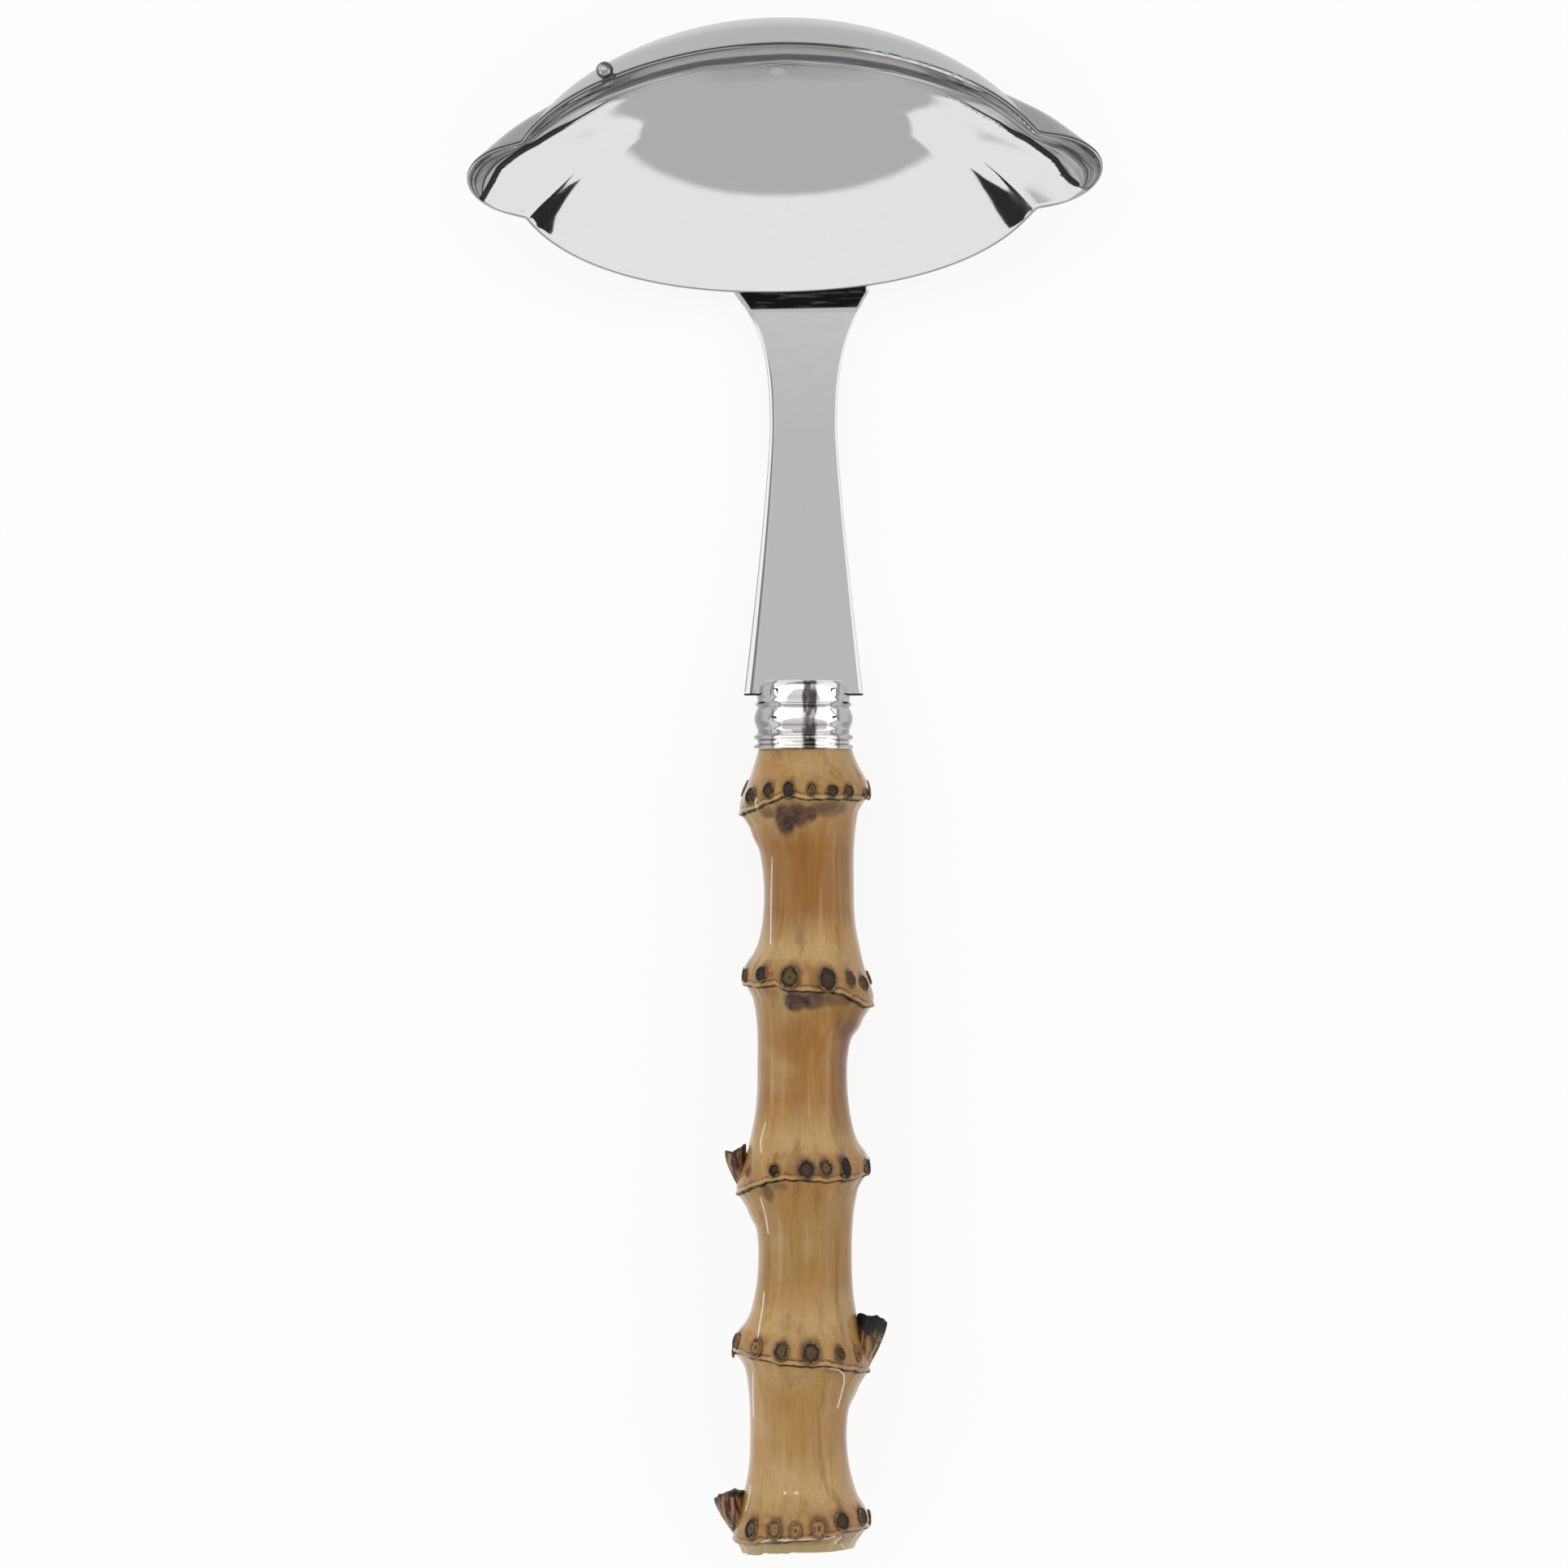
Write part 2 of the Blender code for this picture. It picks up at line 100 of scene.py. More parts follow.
# A dark line painted below the bands under the far rim, from lip to lip, a painted reflection of the table's
# far edge: x and s as seen
DARK_LINE = (
    (-41.9, 176.1), (-40.6, 178.4), (-39.6, 180.3), (-38.4, 181.3), (-37.2, 182.2), (-36.0, 182.9),
    (-34.6, 183.6), (-33.2, 184.5), (-31.9, 185.2), (-29.3, 186.7), (-25.3, 189.0), (-19.4, 191.3),
    (-13.1, 192.8), (-2.5, 193.6), (5.0, 193.2), (11.6, 192.3), (17.0, 190.6), (20.6, 188.9),
    (25.4, 186.2), (27.2, 184.9), (29.4, 183.8), (31.3, 182.4), (32.8, 181.3), (34.2, 179.1),
    (35.6, 178.1),
)

# How the ladle lies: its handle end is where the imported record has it, and the handle rises
# towards that end. Every piece is turned and moved from the ladle's axes with this.
MM = 0.001
BOX_SLACK = 1e-5  # metres that every point keeps inside the box of the solids
HANDLE_END_SHIFT = -0.3
handle_end = frame["record"]["mounts"][0]
rise = math.atan2(handle_end["axis"][2], -handle_end["axis"][1])
ladle_root = Vector(handle_end["pos_m"]) - Vector((HANDLE_END_SHIFT * MM, 0, 0))
lie = Matrix.Translation(ladle_root) @ Matrix.Rotation(-rise, 4, "X") @ Matrix.Scale(MM, 4)


class Wire:
    """A socket in a tree. Sums with it add Math nodes."""

    def __init__(self, tree, socket):
        self.tree = tree
        self.socket = socket

    def maths(self, operation, *others):
        values = {i + 1: other for i, other in enumerate(others)}
        return self.tree.add("ShaderNodeMath", {"operation": operation}, {0: self, **values})

    def __add__(self, other):
        return self.maths("ADD", other)

    def __mul__(self, other):
        return self.maths("MULTIPLY", other)

    def __sub__(self, other):
        return self.maths("SUBTRACT", other)

    def __rsub__(self, other):
        return self.tree.add("ShaderNodeMath", {"operation": "SUBTRACT"}, {0: other, 1: self})

    def __truediv__(self, other):
        return self.maths("DIVIDE", other)

    __radd__ = __add__
    __rmul__ = __mul__

    def step(self, low, high):
        """0 below low, 1 above high, smooth between; falls instead where low is above high."""
        start, end = (low, high) if low < high else (high, low)
        ends = (0.0, 1.0) if low < high else (1.0, 0.0)
        return self.tree.add(
            "ShaderNodeMapRange",
            {"interpolation_type": "SMOOTHSTEP"},
            {0: self, 1: start, 2: end, 3: ends[0], 4: ends[1]},
        )


class Tree:
    """A shader's node tree, filled from expressions."""

    def __init__(self, owner):
        owner.use_nodes = True
        self.nodes = owner.node_tree.nodes
        self.links = owner.node_tree.links
        self.nodes.clear()

    def add(self, kind, settings, values, out=0):
        """Adds a node, its settings first, then the values or links of its sockets."""
        node = self.nodes.new(kind)
        for name, value in settings.items():
            if name == "stops":
                ramp = node.color_ramp.elements
                while len(ramp) < len(value):
                    ramp.new(1.0)
                for element, (place, colour) in zip(ramp, value):
                    element.position = place
                    element.color = (*colour, 1.0)
            else:
                setattr(node, name, value)
        for name, value in values.items():
            if isinstance(value, Wire):
                self.links.new(value.socket, node.inputs[name])
            else:
                node.inputs[name].default_value = value
        return Wire(self, node.outputs[out])

    def blend(self, factor, low, high):
        """Colour that goes from low to high with the factor."""
        low = low if isinstance(low, Wire) else (*low, 1.0)
        high = high if isinstance(high, Wire) else (*high, 1.0)
        return self.add("ShaderNodeMix", {"data_type": "RGBA"}, {0: factor, 6: low, 7: high}, out=2)

    def grey(self, factor, low, shade):
        """The same, towards a neutral grey."""
        return self.blend(factor, low, (shade, shade, shade))

    def ramp(self, factor, stops):
        return self.add("ShaderNodeValToRGB", {"stops": stops}, {"Fac": factor})

    def parts(self, vector):
        """The three numbers of a vector."""
        split = self.add("ShaderNodeSeparateXYZ", {}, {0: vector})
        return [Wire(self, socket) for socket in split.socket.node.outputs]

    def along(self, x, y):
        """A place for noise that is drawn out along one way."""
        return self.add("ShaderNodeCombineXYZ", {}, {0: x, 1: y})

    def ladle_axes(self, scale=(1.0, 1.0, 1.0)):
        """Object coordinates in the ladle's axes, in millimetres times a scale for each axis."""
        place = self.add("ShaderNodeTexCoord", {}, {}, out="Object")
        moved = self.vector("SUBTRACT", place, tuple(ladle_root))
        level = self.add("ShaderNodeMapping", {}, {"Vector": moved, "Rotation": (rise, 0, 0)})
        return self.vector("MULTIPLY", level, tuple(v / MM for v in scale))

    def vector(self, operation, one, other):
        return self.add("ShaderNodeVectorMath", {"operation": operation}, {0: one, 1: other})

    def noise(self, place, scale, detail=2.0, rough=0.5):
        values = {"Vector": place, "Scale": scale, "Detail": detail, "Roughness": rough}
        return self.add("ShaderNodeTexNoise", {}, values)

    def attribute(self, name):
        return self.add("ShaderNodeAttribute", {"attribute_name": name}, {}, out="Fac")

    def bump(self, height, strength, distance):
        values = {"Height": height, "Strength": strength, "Distance": distance}
        return self.add("ShaderNodeBump", {}, values)

    def finish(self, **values):
        """The surface shader and the output, from the shader's sockets by name."""
        named = {name.replace("_", " "): value for name, value in values.items()}
        self.add_output(self.add("ShaderNodeBsdfPrincipled", {}, named))

    def finish_steel(self, tint, rough, relief):
        normal = self.bump(relief, 1.0, MM)
        self.finish(Base_Color=tint, Metallic=1.0, Roughness=rough, Normal=normal)

    def add_output(self, shader, kind="ShaderNodeOutputMaterial"):
        node = self.nodes.new(kind)
        self.links.new(shader.socket, node.inputs["Surface"])


def hypot(a, b):
    return (a * a + b * b).maths("SQRT")


def new_material(name):
    """A material and its empty tree."""
    material = bpy.data.materials.new(name)
    return material, Tree(material)


def steel(tree, colour, wave, lay):
    """Colour, roughness and relief of stainless steel polished on a soft wheel: faint waves and
    fine wipe marks along one way."""
    broad = tree.noise(tree.ladle_axes(), 0.09, detail=3.0)
    marks = tree.noise(tree.ladle_axes(lay), 1.0, detail=4.0, rough=0.6)
    spots = tree.noise(tree.ladle_axes(), 0.7, detail=3.0)
    tint = tree.blend(broad, [c * 0.97 for c in colour], [min(c * 1.03, 1) for c in colour])
    tint = tree.blend(marks.step(0.35, 0.75), tint, [c * 0.985 for c in colour])
    rough = 0.035 + 0.03 * marks + 0.03 * spots.step(0.5, 0.8)
    return tint, rough, broad * wave + marks * 0.0006 * wave


def marked(mesh, **numbers):
    """Stores numbers for each point of a mesh, by name, for its material or tree to read."""
    for name, values in numbers.items():
        values = np.asarray(values, np.float32)
        kind, slot = ("FLOAT_VECTOR", "vector") if values.ndim == 2 else ("FLOAT", "value")
        attribute = mesh.attributes.new(name, kind, "POINT")
        attribute.data.foreach_set(slot, values.ravel())


def face_out(mesh):
    """Points that would stand out of the box of the solids pressed in, and all faces turned out."""
    low, high = cad_box
    for v in mesh.vertices:
        v.co = [min(max(c, a + BOX_SLACK), b - BOX_SLACK) for c, a, b in zip(v.co, low, high)]
    work = bmesh.new()
    work.from_mesh(mesh)
    bmesh.ops.recalc_face_normals(work, faces=work.faces)
    work.to_mesh(mesh)
    work.free()


def piece(name, points, faces, material, replaces=()):
    """A finished mesh from points in the ladle's axes, with smooth faces, riding on its body."""
    mesh = bpy.data.meshes.new(name)
    mesh.from_pydata([lie @ Vector(p) for p in points], [], faces)
    face_out(mesh)
    mesh.materials.append(material)
    mesh.shade_smooth()
    obj = bpy.data.objects.new(name, mesh)
    bpy.context.scene.collection.objects.link(obj)
    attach(obj, "root")
    if replaces:
        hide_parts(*replaces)
    return mesh


def skin(rows, columns, closed_rows=True):
    """Faces of a grid of points given row by row, closed round each row."""
    faces = []
    for row in range(0, (rows - 1) * columns, columns):
        for j in range(columns):
            k = (j + 1) % columns
            faces.append((row + j, row + k, row + columns + k, row + columns + j))
    if closed_rows:
        faces.append(tuple(reversed(range(columns))))
        faces.append(tuple(range((rows - 1) * columns, rows * columns)))
    return faces


def smooth(t):
    t = np.clip(t, 0.0, 1.0)
    return t * t * (3 - 2 * t)


def bowl_reach(theta, rho):
    """Distance from the middle of the bowl to its oval rim, without and with the lips."""
    c, s = np.abs(np.cos(theta)), np.sin(theta)
    body = 1 / np.sqrt((c / BOWL_HALF_LENGTH) ** 2 + (s / BOWL_HALF_WIDTH) ** 2)
    proud = np.where(np.cos(theta) < 0, LIP_PROUD_LEFT, LIP_PROUD_RIGHT)
    middle = BOWL_HALF_LENGTH + proud - LIP_LENGTH
    a = (c / LIP_LENGTH) ** 2 + (s / LIP_HALF_WIDTH) ** 2
    b = middle * c / LIP_LENGTH**2
    inside = b * b - a * ((middle / LIP_LENGTH) ** 2 - 1)
    soft = LIP_SOFTNESS / LIP_LENGTH**2
    far = (b + np.sqrt((inside + np.sqrt(inside**2 + soft**2)) / 2)) / a
    width = LIP_BLEND + LIP_BLEND_DEEP * (1 - rho)
    fillet = width * np.maximum(1 - np.abs(body - far) / width, 0) ** 2 / 4
    return body, np.maximum(body, far) + fillet


def wall_fall(rho, arc):
    """Depth of a wall that takes part of a half circle, from 1 at the bottom to 0 at the rim."""
    base = math.sqrt(1 - arc**2)
    return (np.sqrt(1 - (arc * rho) ** 2) - base) / (1 - base)


def bowl_inside(theta, rho):
    """Points of the inner surface, round the bowl and from its bottom (0) to the rim (1)."""
    body, both = bowl_reach(theta, rho)
    near = smooth(0.5 - BOWL_ARC_TURN * body * np.sin(theta) / BOWL_HALF_WIDTH)
    near_lips = np.clip((rho - LIP_START_NEAR) / (1 - LIP_START_NEAR), 0, 1) ** 2
    far_lips = smooth((rho - LIP_START_FAR) / (1 - LIP_START_FAR))
    lips = far_lips + (near_lips - far_lips) * near
    reach = rho * (body + (both - body) * lips)
    u = reach * np.cos(theta)
    v = reach * np.sin(theta) + BOWL_LEAN * (1 - rho * rho)
    fall = wall_fall(rho, BOWL_ARC_FAR) * (1 - near) + wall_fall(rho, BOWL_ARC_NEAR) * near
    w = BOWL_DEPTH * fall - RIM_RISE * rho * rho * smooth(np.abs(u) / BOWL_HALF_LENGTH)
    return np.stack([u, v + BOWL_HALF_WIDTH, w], axis=-1)


def bowl_place(p):
    """From the bowl's own axes (along, across, down) into those of the ladle."""
    tilt, yaw = math.radians(BOWL_TILT), math.radians(BOWL_YAW)
    across = p[..., 1] * math.cos(tilt) + p[..., 2] * math.sin(tilt)
    out = p[..., 1] * math.sin(tilt) - p[..., 2] * math.cos(tilt)
    x = p[..., 0] * math.cos(yaw) - across * math.sin(yaw) + BOWL_OFFSET
    s = p[..., 0] * math.sin(yaw) + across * math.cos(yaw) + RIM_NEAR_S
    return np.stack([x, s, out + RIM_NEAR_H], axis=-1)


def bowl_sheet(theta, rho):
    """Points of the inside and of the back, with unit normals to the open side and up the wall."""
    e = 1e-4
    here = bowl_place(bowl_inside(theta, rho))
    around = bowl_place(bowl_inside(theta + e, rho)) - bowl_place(bowl_inside(theta - e, rho))
    upward = here - bowl_place(bowl_inside(theta, rho - e))
    normal = np.cross(upward, around)
    normal /= np.linalg.norm(normal, axis=-1, keepdims=True)
    upward /= np.linalg.norm(upward, axis=-1, keepdims=True)
    wall = RIM_EDGE + (BOWL_WALL - RIM_EDGE) * smooth((1 - rho) / 0.12)
    return here, here - normal * wall[..., None], normal, upward


theta = np.linspace(0, 2 * math.pi, BOWL_AROUND, endpoint=False)
theta -= BOWL_CROWD * np.sin(2 * theta)
rows, backs = [], []
for rho in np.linspace(0, 1, BOWL_UP + 1)[1:] ** 0.8:
    here, back, normal, upward = bowl_sheet(theta, np.full_like(theta, rho))
    rows.append(here)
    backs.append(back)
edge = []
for turn in np.radians(np.arange(15, 180, 15)):
    bulge = RIM_EDGE / 2 * normal * math.cos(turn) + RIM_BULGE * upward * math.sin(turn)
    edge.append((here + back) / 2 + bulge)
loops = rows + edge + backs[::-1]
points = [p for loop in loops for p in loop] + [rows[0].mean(0), backs[0].mean(0)]
faces = skin(len(loops), BOWL_AROUND, closed_rows=False)
last = (len(loops) - 1) * BOWL_AROUND
for j in range(BOWL_AROUND):
    k = (j + 1) % BOWL_AROUND
    faces.append((len(points) - 2, k, j))
    faces.append((len(points) - 1, last + j, last + k))


def beside(points, line):
    """Distance of points from a line seen from above, positive on its left."""
    line = np.asarray(line, float)
    start, way = line[:-1], np.diff(line, axis=0)
    off = points[:, None, :2] - start
    share = np.clip((off * way).sum(-1) / (way**2).sum(-1), 0, 1)
    far = np.linalg.norm(off - share[..., None] * way, axis=-1)
    near = far.argmin(-1)
    i = np.arange(len(points))
    turn = way[near, 0] * off[i, near, 1] - way[near, 1] * off[i, near, 0]
    return far[i, near] * np.sign(turn)


def as_seen(places):
    """Where places in the ladle's axes show from above, by x and s."""
    nearer = VIEW_FAR / (VIEW_FAR - places[..., 2:])
    return (VIEW_X, VIEW_S) + (places[..., :2] - (VIEW_X, VIEW_S)) * nearer


def by_loop(inside, edges, back):
    """A number for each point of the bowl, from those of its loops."""
    loops_of = [inside] * len(rows) + list(edges) + [back] * len(backs)
    return np.concatenate([np.repeat(loops_of, BOWL_AROUND), [inside, back]])


inner = as_seen(np.concatenate(rows))
rim = inner[-BOWL_AROUND:]
rim = rim[(rim[:, 1] > TURN_S) & (np.sin(theta) > -0.2)]
rim = rim[np.argsort(np.arctan2(rim[:, 1] - TURN_S, rim[:, 0]))[::-1]]
under_rim = -beside(inner, rim)
above_line = beside(inner, DARK_LINE)
band = under_rim / np.maximum(under_rim + above_line, 0.2)
band = np.where((above_line > -0.3) & (under_rim > -0.05), np.clip(band, 0, 1.2), -1)
rest = len(points) - len(inner)


def greys(*stops):
    """Stops of a ramp in the grey of steel, from places and shades."""
    return [(place, (shade, shade * 0.985, shade * 0.98)) for place, shade in stops]


# Painted reflections under the far rim: bands from the rim to the dark line, those in the middle, and the
# finer ones towards the lips
MIDDLE_BANDS = greys(
    (0.0, 0.5), (0.2, 0.78), (0.36, 0.8), (0.42, 0.26), (0.66, 0.24), (0.72, 0.45), (0.8, 0.75),
    (0.85, 0.3), (0.91, 0.72), (0.97, 0.3), (1.0, 0.6),
)
FLANK_BANDS = greys(
    (0.0, 0.1), (0.06, 0.5), (0.2, 0.42), (0.26, 0.12), (0.31, 0.36), (0.44, 0.4), (0.5, 0.1),
    (0.55, 0.35), (0.66, 0.4), (0.74, 0.46), (0.95, 0.46), (1.0, 0.5),
)
bowl_steel, t = new_material("bowl_steel")
tint, rough, relief = steel(t, STEEL, 0.02, (0.4, 0.4, 0.4))
x, s, height = t.parts(t.ladle_axes())
sideways = (x + 2.5).maths("ABSOLUTE")
flank = sideways.step(15.0, 24.0)
# Painted reflections in the band under the far rim: streaked, greyer at the flanks, darker towards the lips
across = t.attribute("band")
gap = t.attribute("above_line")
streak = t.noise(t.along(x * 0.07, across * 2.5), 1.0, detail=3.0)
noisy = t.noise(t.along(x * 0.16, across * 9.0), 1.0, detail=3.0)
seen = across + (streak - 0.5) * 0.16
shown = t.blend(flank, t.ramp(seen, MIDDLE_BANDS), t.ramp(seen, FLANK_BANDS))
shown = t.grey(flank * 0.15, shown, 0.08)
shown = t.grey(noisy.step(0.55, 0.75) * 0.6, shown, 0.655)
shown = t.grey(noisy.step(0.42, 0.25) * 0.6, shown, 0.14)
shown = t.grey(sideways.step(26.0, 33.0) * 0.4, shown, 0.13)
shown = t.grey(sideways.step(27.0, 33.0) * noisy.step(0.52, 0.42) * 0.8, shown, 0.03)
tint = t.blend(across.step(-0.3, -0.02) * across.step(1.06, 0.97), tint, shown)
# The dark line, a painted reflection, thicker towards the lips
thick = 0.1 + 0.26 * (x + 2.0).maths("ABSOLUTE").step(26.5, 30.5)
painted_dark_line = ((gap + (streak - 0.5) * 0.3).maths("ABSOLUTE") - thick).step(0.08, -0.03)
tint = t.blend(painted_dark_line * sideways.step(20.0, 25.0) * 0.97, tint, PAINTED_BLACK)
# Painted reflections on the turned edge: olive on the left, a bright painted highlight on the right, a
# double line towards the lips
inwards = 1 - t.attribute("edge_place")
glint = t.noise(t.ladle_axes((0.8, 2.0, 1.0)), 1.0, detail=3.0)
olive = t.blend(inwards.step(0.5, 0.62), (0.11, 0.11, 0.09), (0.42, 0.42, 0.38))
bright = t.blend(inwards.step(0.3, 0.4) * inwards.step(0.95, 0.8), (0.12, 0.12, 0.12), (1.0, 1.0, 1.0))
bright = t.grey(glint.step(0.5, 0.4) * 0.6, bright, 0.5)
double = t.grey(inwards.step(0.35, 0.45) * inwards.step(0.7, 0.6), (0.1, 0.1, 0.1), 0.5)
edge_tint = t.blend(x.step(5.0, 9.0), olive, bright)
edge_tint = t.blend(x.step(-6.0, -10.0).maths("MAXIMUM", x.step(19.0, 24.0)), edge_tint, double)
edge_tint = t.grey(s.step(181.0, 177.0), edge_tint, 0.36)
tint = t.blend(t.attribute("turned_edge"), tint, edge_tint)
# The back is painted darker than the inside, lighter high up and darker towards the ends: painted shade in
# its polish
back_tint = t.blend(height.step(15.0, 24.0), BACK_LOW, BACK_HIGH)
back_tint = t.blend(sideways.step(18.0, 36.0), back_tint, BACK_END)
outside = t.attribute("outside")
tint = t.blend(outside.step(0.55, 0.95), tint, back_tint)
# Dull places: under the middle of the far rim, and in the right lip
dull = gap.step(-2.8, -0.8) * gap.step(0.7, 0.0) * sideways.step(15.0, 7.0)
dull = dull.maths("MAXIMUM", hypot(x - DULL_SPOT[0], s - DULL_SPOT[1]).step(4.5, 0.5) * 0.35)
t.finish_steel(tint, rough + 0.16 * outside + 0.45 * dull, relief)
bowl = piece("bowl", points, faces, bowl_steel, ["bowl"])
marked(
    bowl,
    band=np.concatenate([band, np.full(rest, -1.0)]),
    above_line=np.concatenate([above_line, np.full(rest, 99.0)]),
    turned_edge=by_loop(0.0, np.ones(len(edge)), 0.0),
    edge_place=by_loop(0.0, np.linspace(0, 1, len(edge)), 1.0),
    outside=by_loop(0.0, np.full(len(edge), 0.5), 1.0),
)


# Bead: a small steel ball brazed to the back of the bowl near the left lip.
BEAD_RADIUS = 1.1
BEAD_X = -24.9
BEAD_S = 190.1
BEAD_FOOT = 0.75
BEAD_AROUND = 40


def nearest_back(x, s):
    """Point and outward normal of the back of the bowl that shows at (x, s) from above."""
    around, up = np.meshgrid(np.linspace(0, math.pi, 721), np.linspace(0.05, 1, 200))
    _, back, normal, _ = bowl_sheet(around.ravel(), up.ravel())
    near = np.argmin(np.hypot(back[:, 0] - x, back[:, 1] - s) - back[:, 2] * 0.01)
    return back[near], -normal[near]


spot, out = nearest_back(BEAD_X, BEAD_S)
side = np.cross(out, (0, 0, 1.0))
side /= np.linalg.norm(side)
outline = [(BEAD_FOOT * 1.5, -0.25), (BEAD_FOOT * 1.25, 0.02), (BEAD_FOOT, 0.22)]
for turn in np.radians(np.linspace(-42, 88, 22)):
    outline.append((BEAD_RADIUS * math.cos(turn), BEAD_RADIUS * (0.9 + math.sin(turn))))
points = []
for radius, height in outline:
    for turn in np.linspace(0, 2 * math.pi, BEAD_AROUND, endpoint=False):
        across = side * math.cos(turn) + np.cross(out, side) * math.sin(turn)
        points.append(spot + out * height + across * radius)
bead_steel, t = new_material("bead_steel")
tint, rough, relief = steel(t, (0.5, 0.5, 0.49), 0.02, (1, 1, 1))
off = t.vector("SUBTRACT", t.ladle_axes(), tuple(spot + out * BEAD_RADIUS))
off_x, off_s, _ = t.parts(off)
# Painted reflections: the ball's side towards the bowl painted near black, and two dark rings in its polish
painted_dark_side = (off_x * 0.5 + off_s * 0.85 + (t.noise(off, 1.2, detail=3.0) - 0.5) * 0.6).step(-0.05, 0.5)
reach = hypot(off_x, off_s)
ring = (reach - 0.45).maths("ABSOLUTE").step(0.09, 0.03) * 0.6
girth = reach.step(0.68, 0.92).maths("MAXIMUM", ring)
tint = t.grey((painted_dark_side * 0.85).maths("MAXIMUM", girth * 0.9), tint, 0.03)
t.finish_steel(tint, rough, relief)
piece("bowl_bead", points, skin(len(outline), BEAD_AROUND), bead_steel, ["bowl_bead"])


# Stem: a flat steel bar, sheared and ground, brazed under the near rim of the bowl. Its left edge
# has a wide hollow-ground bevel, its right edge is only eased, and its foot is square.
STEM_FOOT_S = 111.5
STEM_WAIST_S = 146.0
STEM_DIP_S = 161.5
STEM_FLARE_S = 164.0
STEM_END_S = 171.0
STEM_FOOT_WIDTH = 15.6
STEM_WAIST_WIDTH = 8.8
STEM_FLARE_WIDTH = 17.0
STEM_END_WIDTH = 4.2
STEM_FOOT_THICK = 4.0
STEM_WAIST_THICK = 2.8
STEM_END_THICK = 1.0
BEVEL_FOOT = 1.4
BEVEL_TOP = 0.65
BEVEL_RIGHT_TOP = 0.3
BEVEL_RIGHT_FOOT = 0.55
RIM_MARGIN = 0.7
STEM_EASE = 0.3  # rounding of the square foot
STEM_LEAN = 0.7  # how much further the flare reaches to the left than to the right
STEM_LEAN_S = 156.0  # where it starts to
BEVEL_UNDER_RIM = 0.8
LINE_FOOT = 0.04  # how near a face's edge its outermost points lie, so that it shades flat
RECESS_S = 161.9  # from here up, under the rim, the bar is painted dark as shade
# Left bevel from its outer side to the flat face: share of its width, share of its depth
BEVEL_SHAPE = ((0.0, 0.75), (0.025, 0.55), (0.06, 0.45), (0.1, 0.41), (0.3, 0.32), (0.5, 0.23))
BEVEL_SHAPE += ((0.62, 0.175), (0.75, 0.11), (0.88, 0.05), (1.0, 0.0))
EASED_EDGE = ((0.7, 0.12), (0.2, 0.38), (0.06, 0.5), (0.0, 0.8))  # the same for the right edge


def stem_width(s):
    if s < STEM_WAIST_S:
        part = (STEM_WAIST_S - s) / (STEM_WAIST_S - STEM_FOOT_S)
        return STEM_WAIST_WIDTH + (STEM_FOOT_WIDTH - STEM_WAIST_WIDTH) * part**1.25
    if s < STEM_FLARE_S:
        part = (s - STEM_WAIST_S) / (STEM_FLARE_S - STEM_WAIST_S)
        return STEM_WAIST_WIDTH + (STEM_FLARE_WIDTH - STEM_WAIST_WIDTH) * part**2.8
    part = min((s - STEM_FLARE_S) / (STEM_END_S - STEM_FLARE_S), 1.0)
    return STEM_END_WIDTH + (STEM_FLARE_WIDTH - STEM_END_WIDTH) * math.sqrt(1 - part**2.4)


def stem_thickness(s):
    if s < STEM_WAIST_S:
        part = (STEM_WAIST_S - s) / (STEM_WAIST_S - STEM_FOOT_S)
        return STEM_WAIST_THICK + (STEM_FOOT_THICK - STEM_WAIST_THICK) * part
    part = (s - STEM_WAIST_S) / (STEM_END_S - STEM_WAIST_S)
    return STEM_WAIST_THICK + (STEM_END_THICK - STEM_WAIST_THICK) * part


around, up = np.meshgrid(np.linspace(1.15 * math.pi, 1.85 * math.pi, 361), np.linspace(0.3, 1, 160))
_, near_back, _, _ = bowl_sheet(around.ravel(), up.ravel())


def bowl_underside(x, s):
    """Height of the back of the bowl over a point of the stem, held level short of the rim."""
    across = x - BOWL_OFFSET
    rim = RIM_NEAR_S + across * math.sin(math.radians(BOWL_YAW))
    bend = 1 - math.sqrt(1 - (across / BOWL_HALF_LENGTH) ** 2)
    rim += BOWL_HALF_WIDTH * bend * math.cos(math.radians(BOWL_TILT))
    away = (near_back[:, 0] - x) ** 2 + (near_back[:, 1] - max(s, rim + RIM_MARGIN)) ** 2
    close = np.argpartition(away, 6)[:6]
    weight = 1 / (away[close] + 1e-4)
    return float((near_back[close, 2] * weight).sum() / weight.sum())


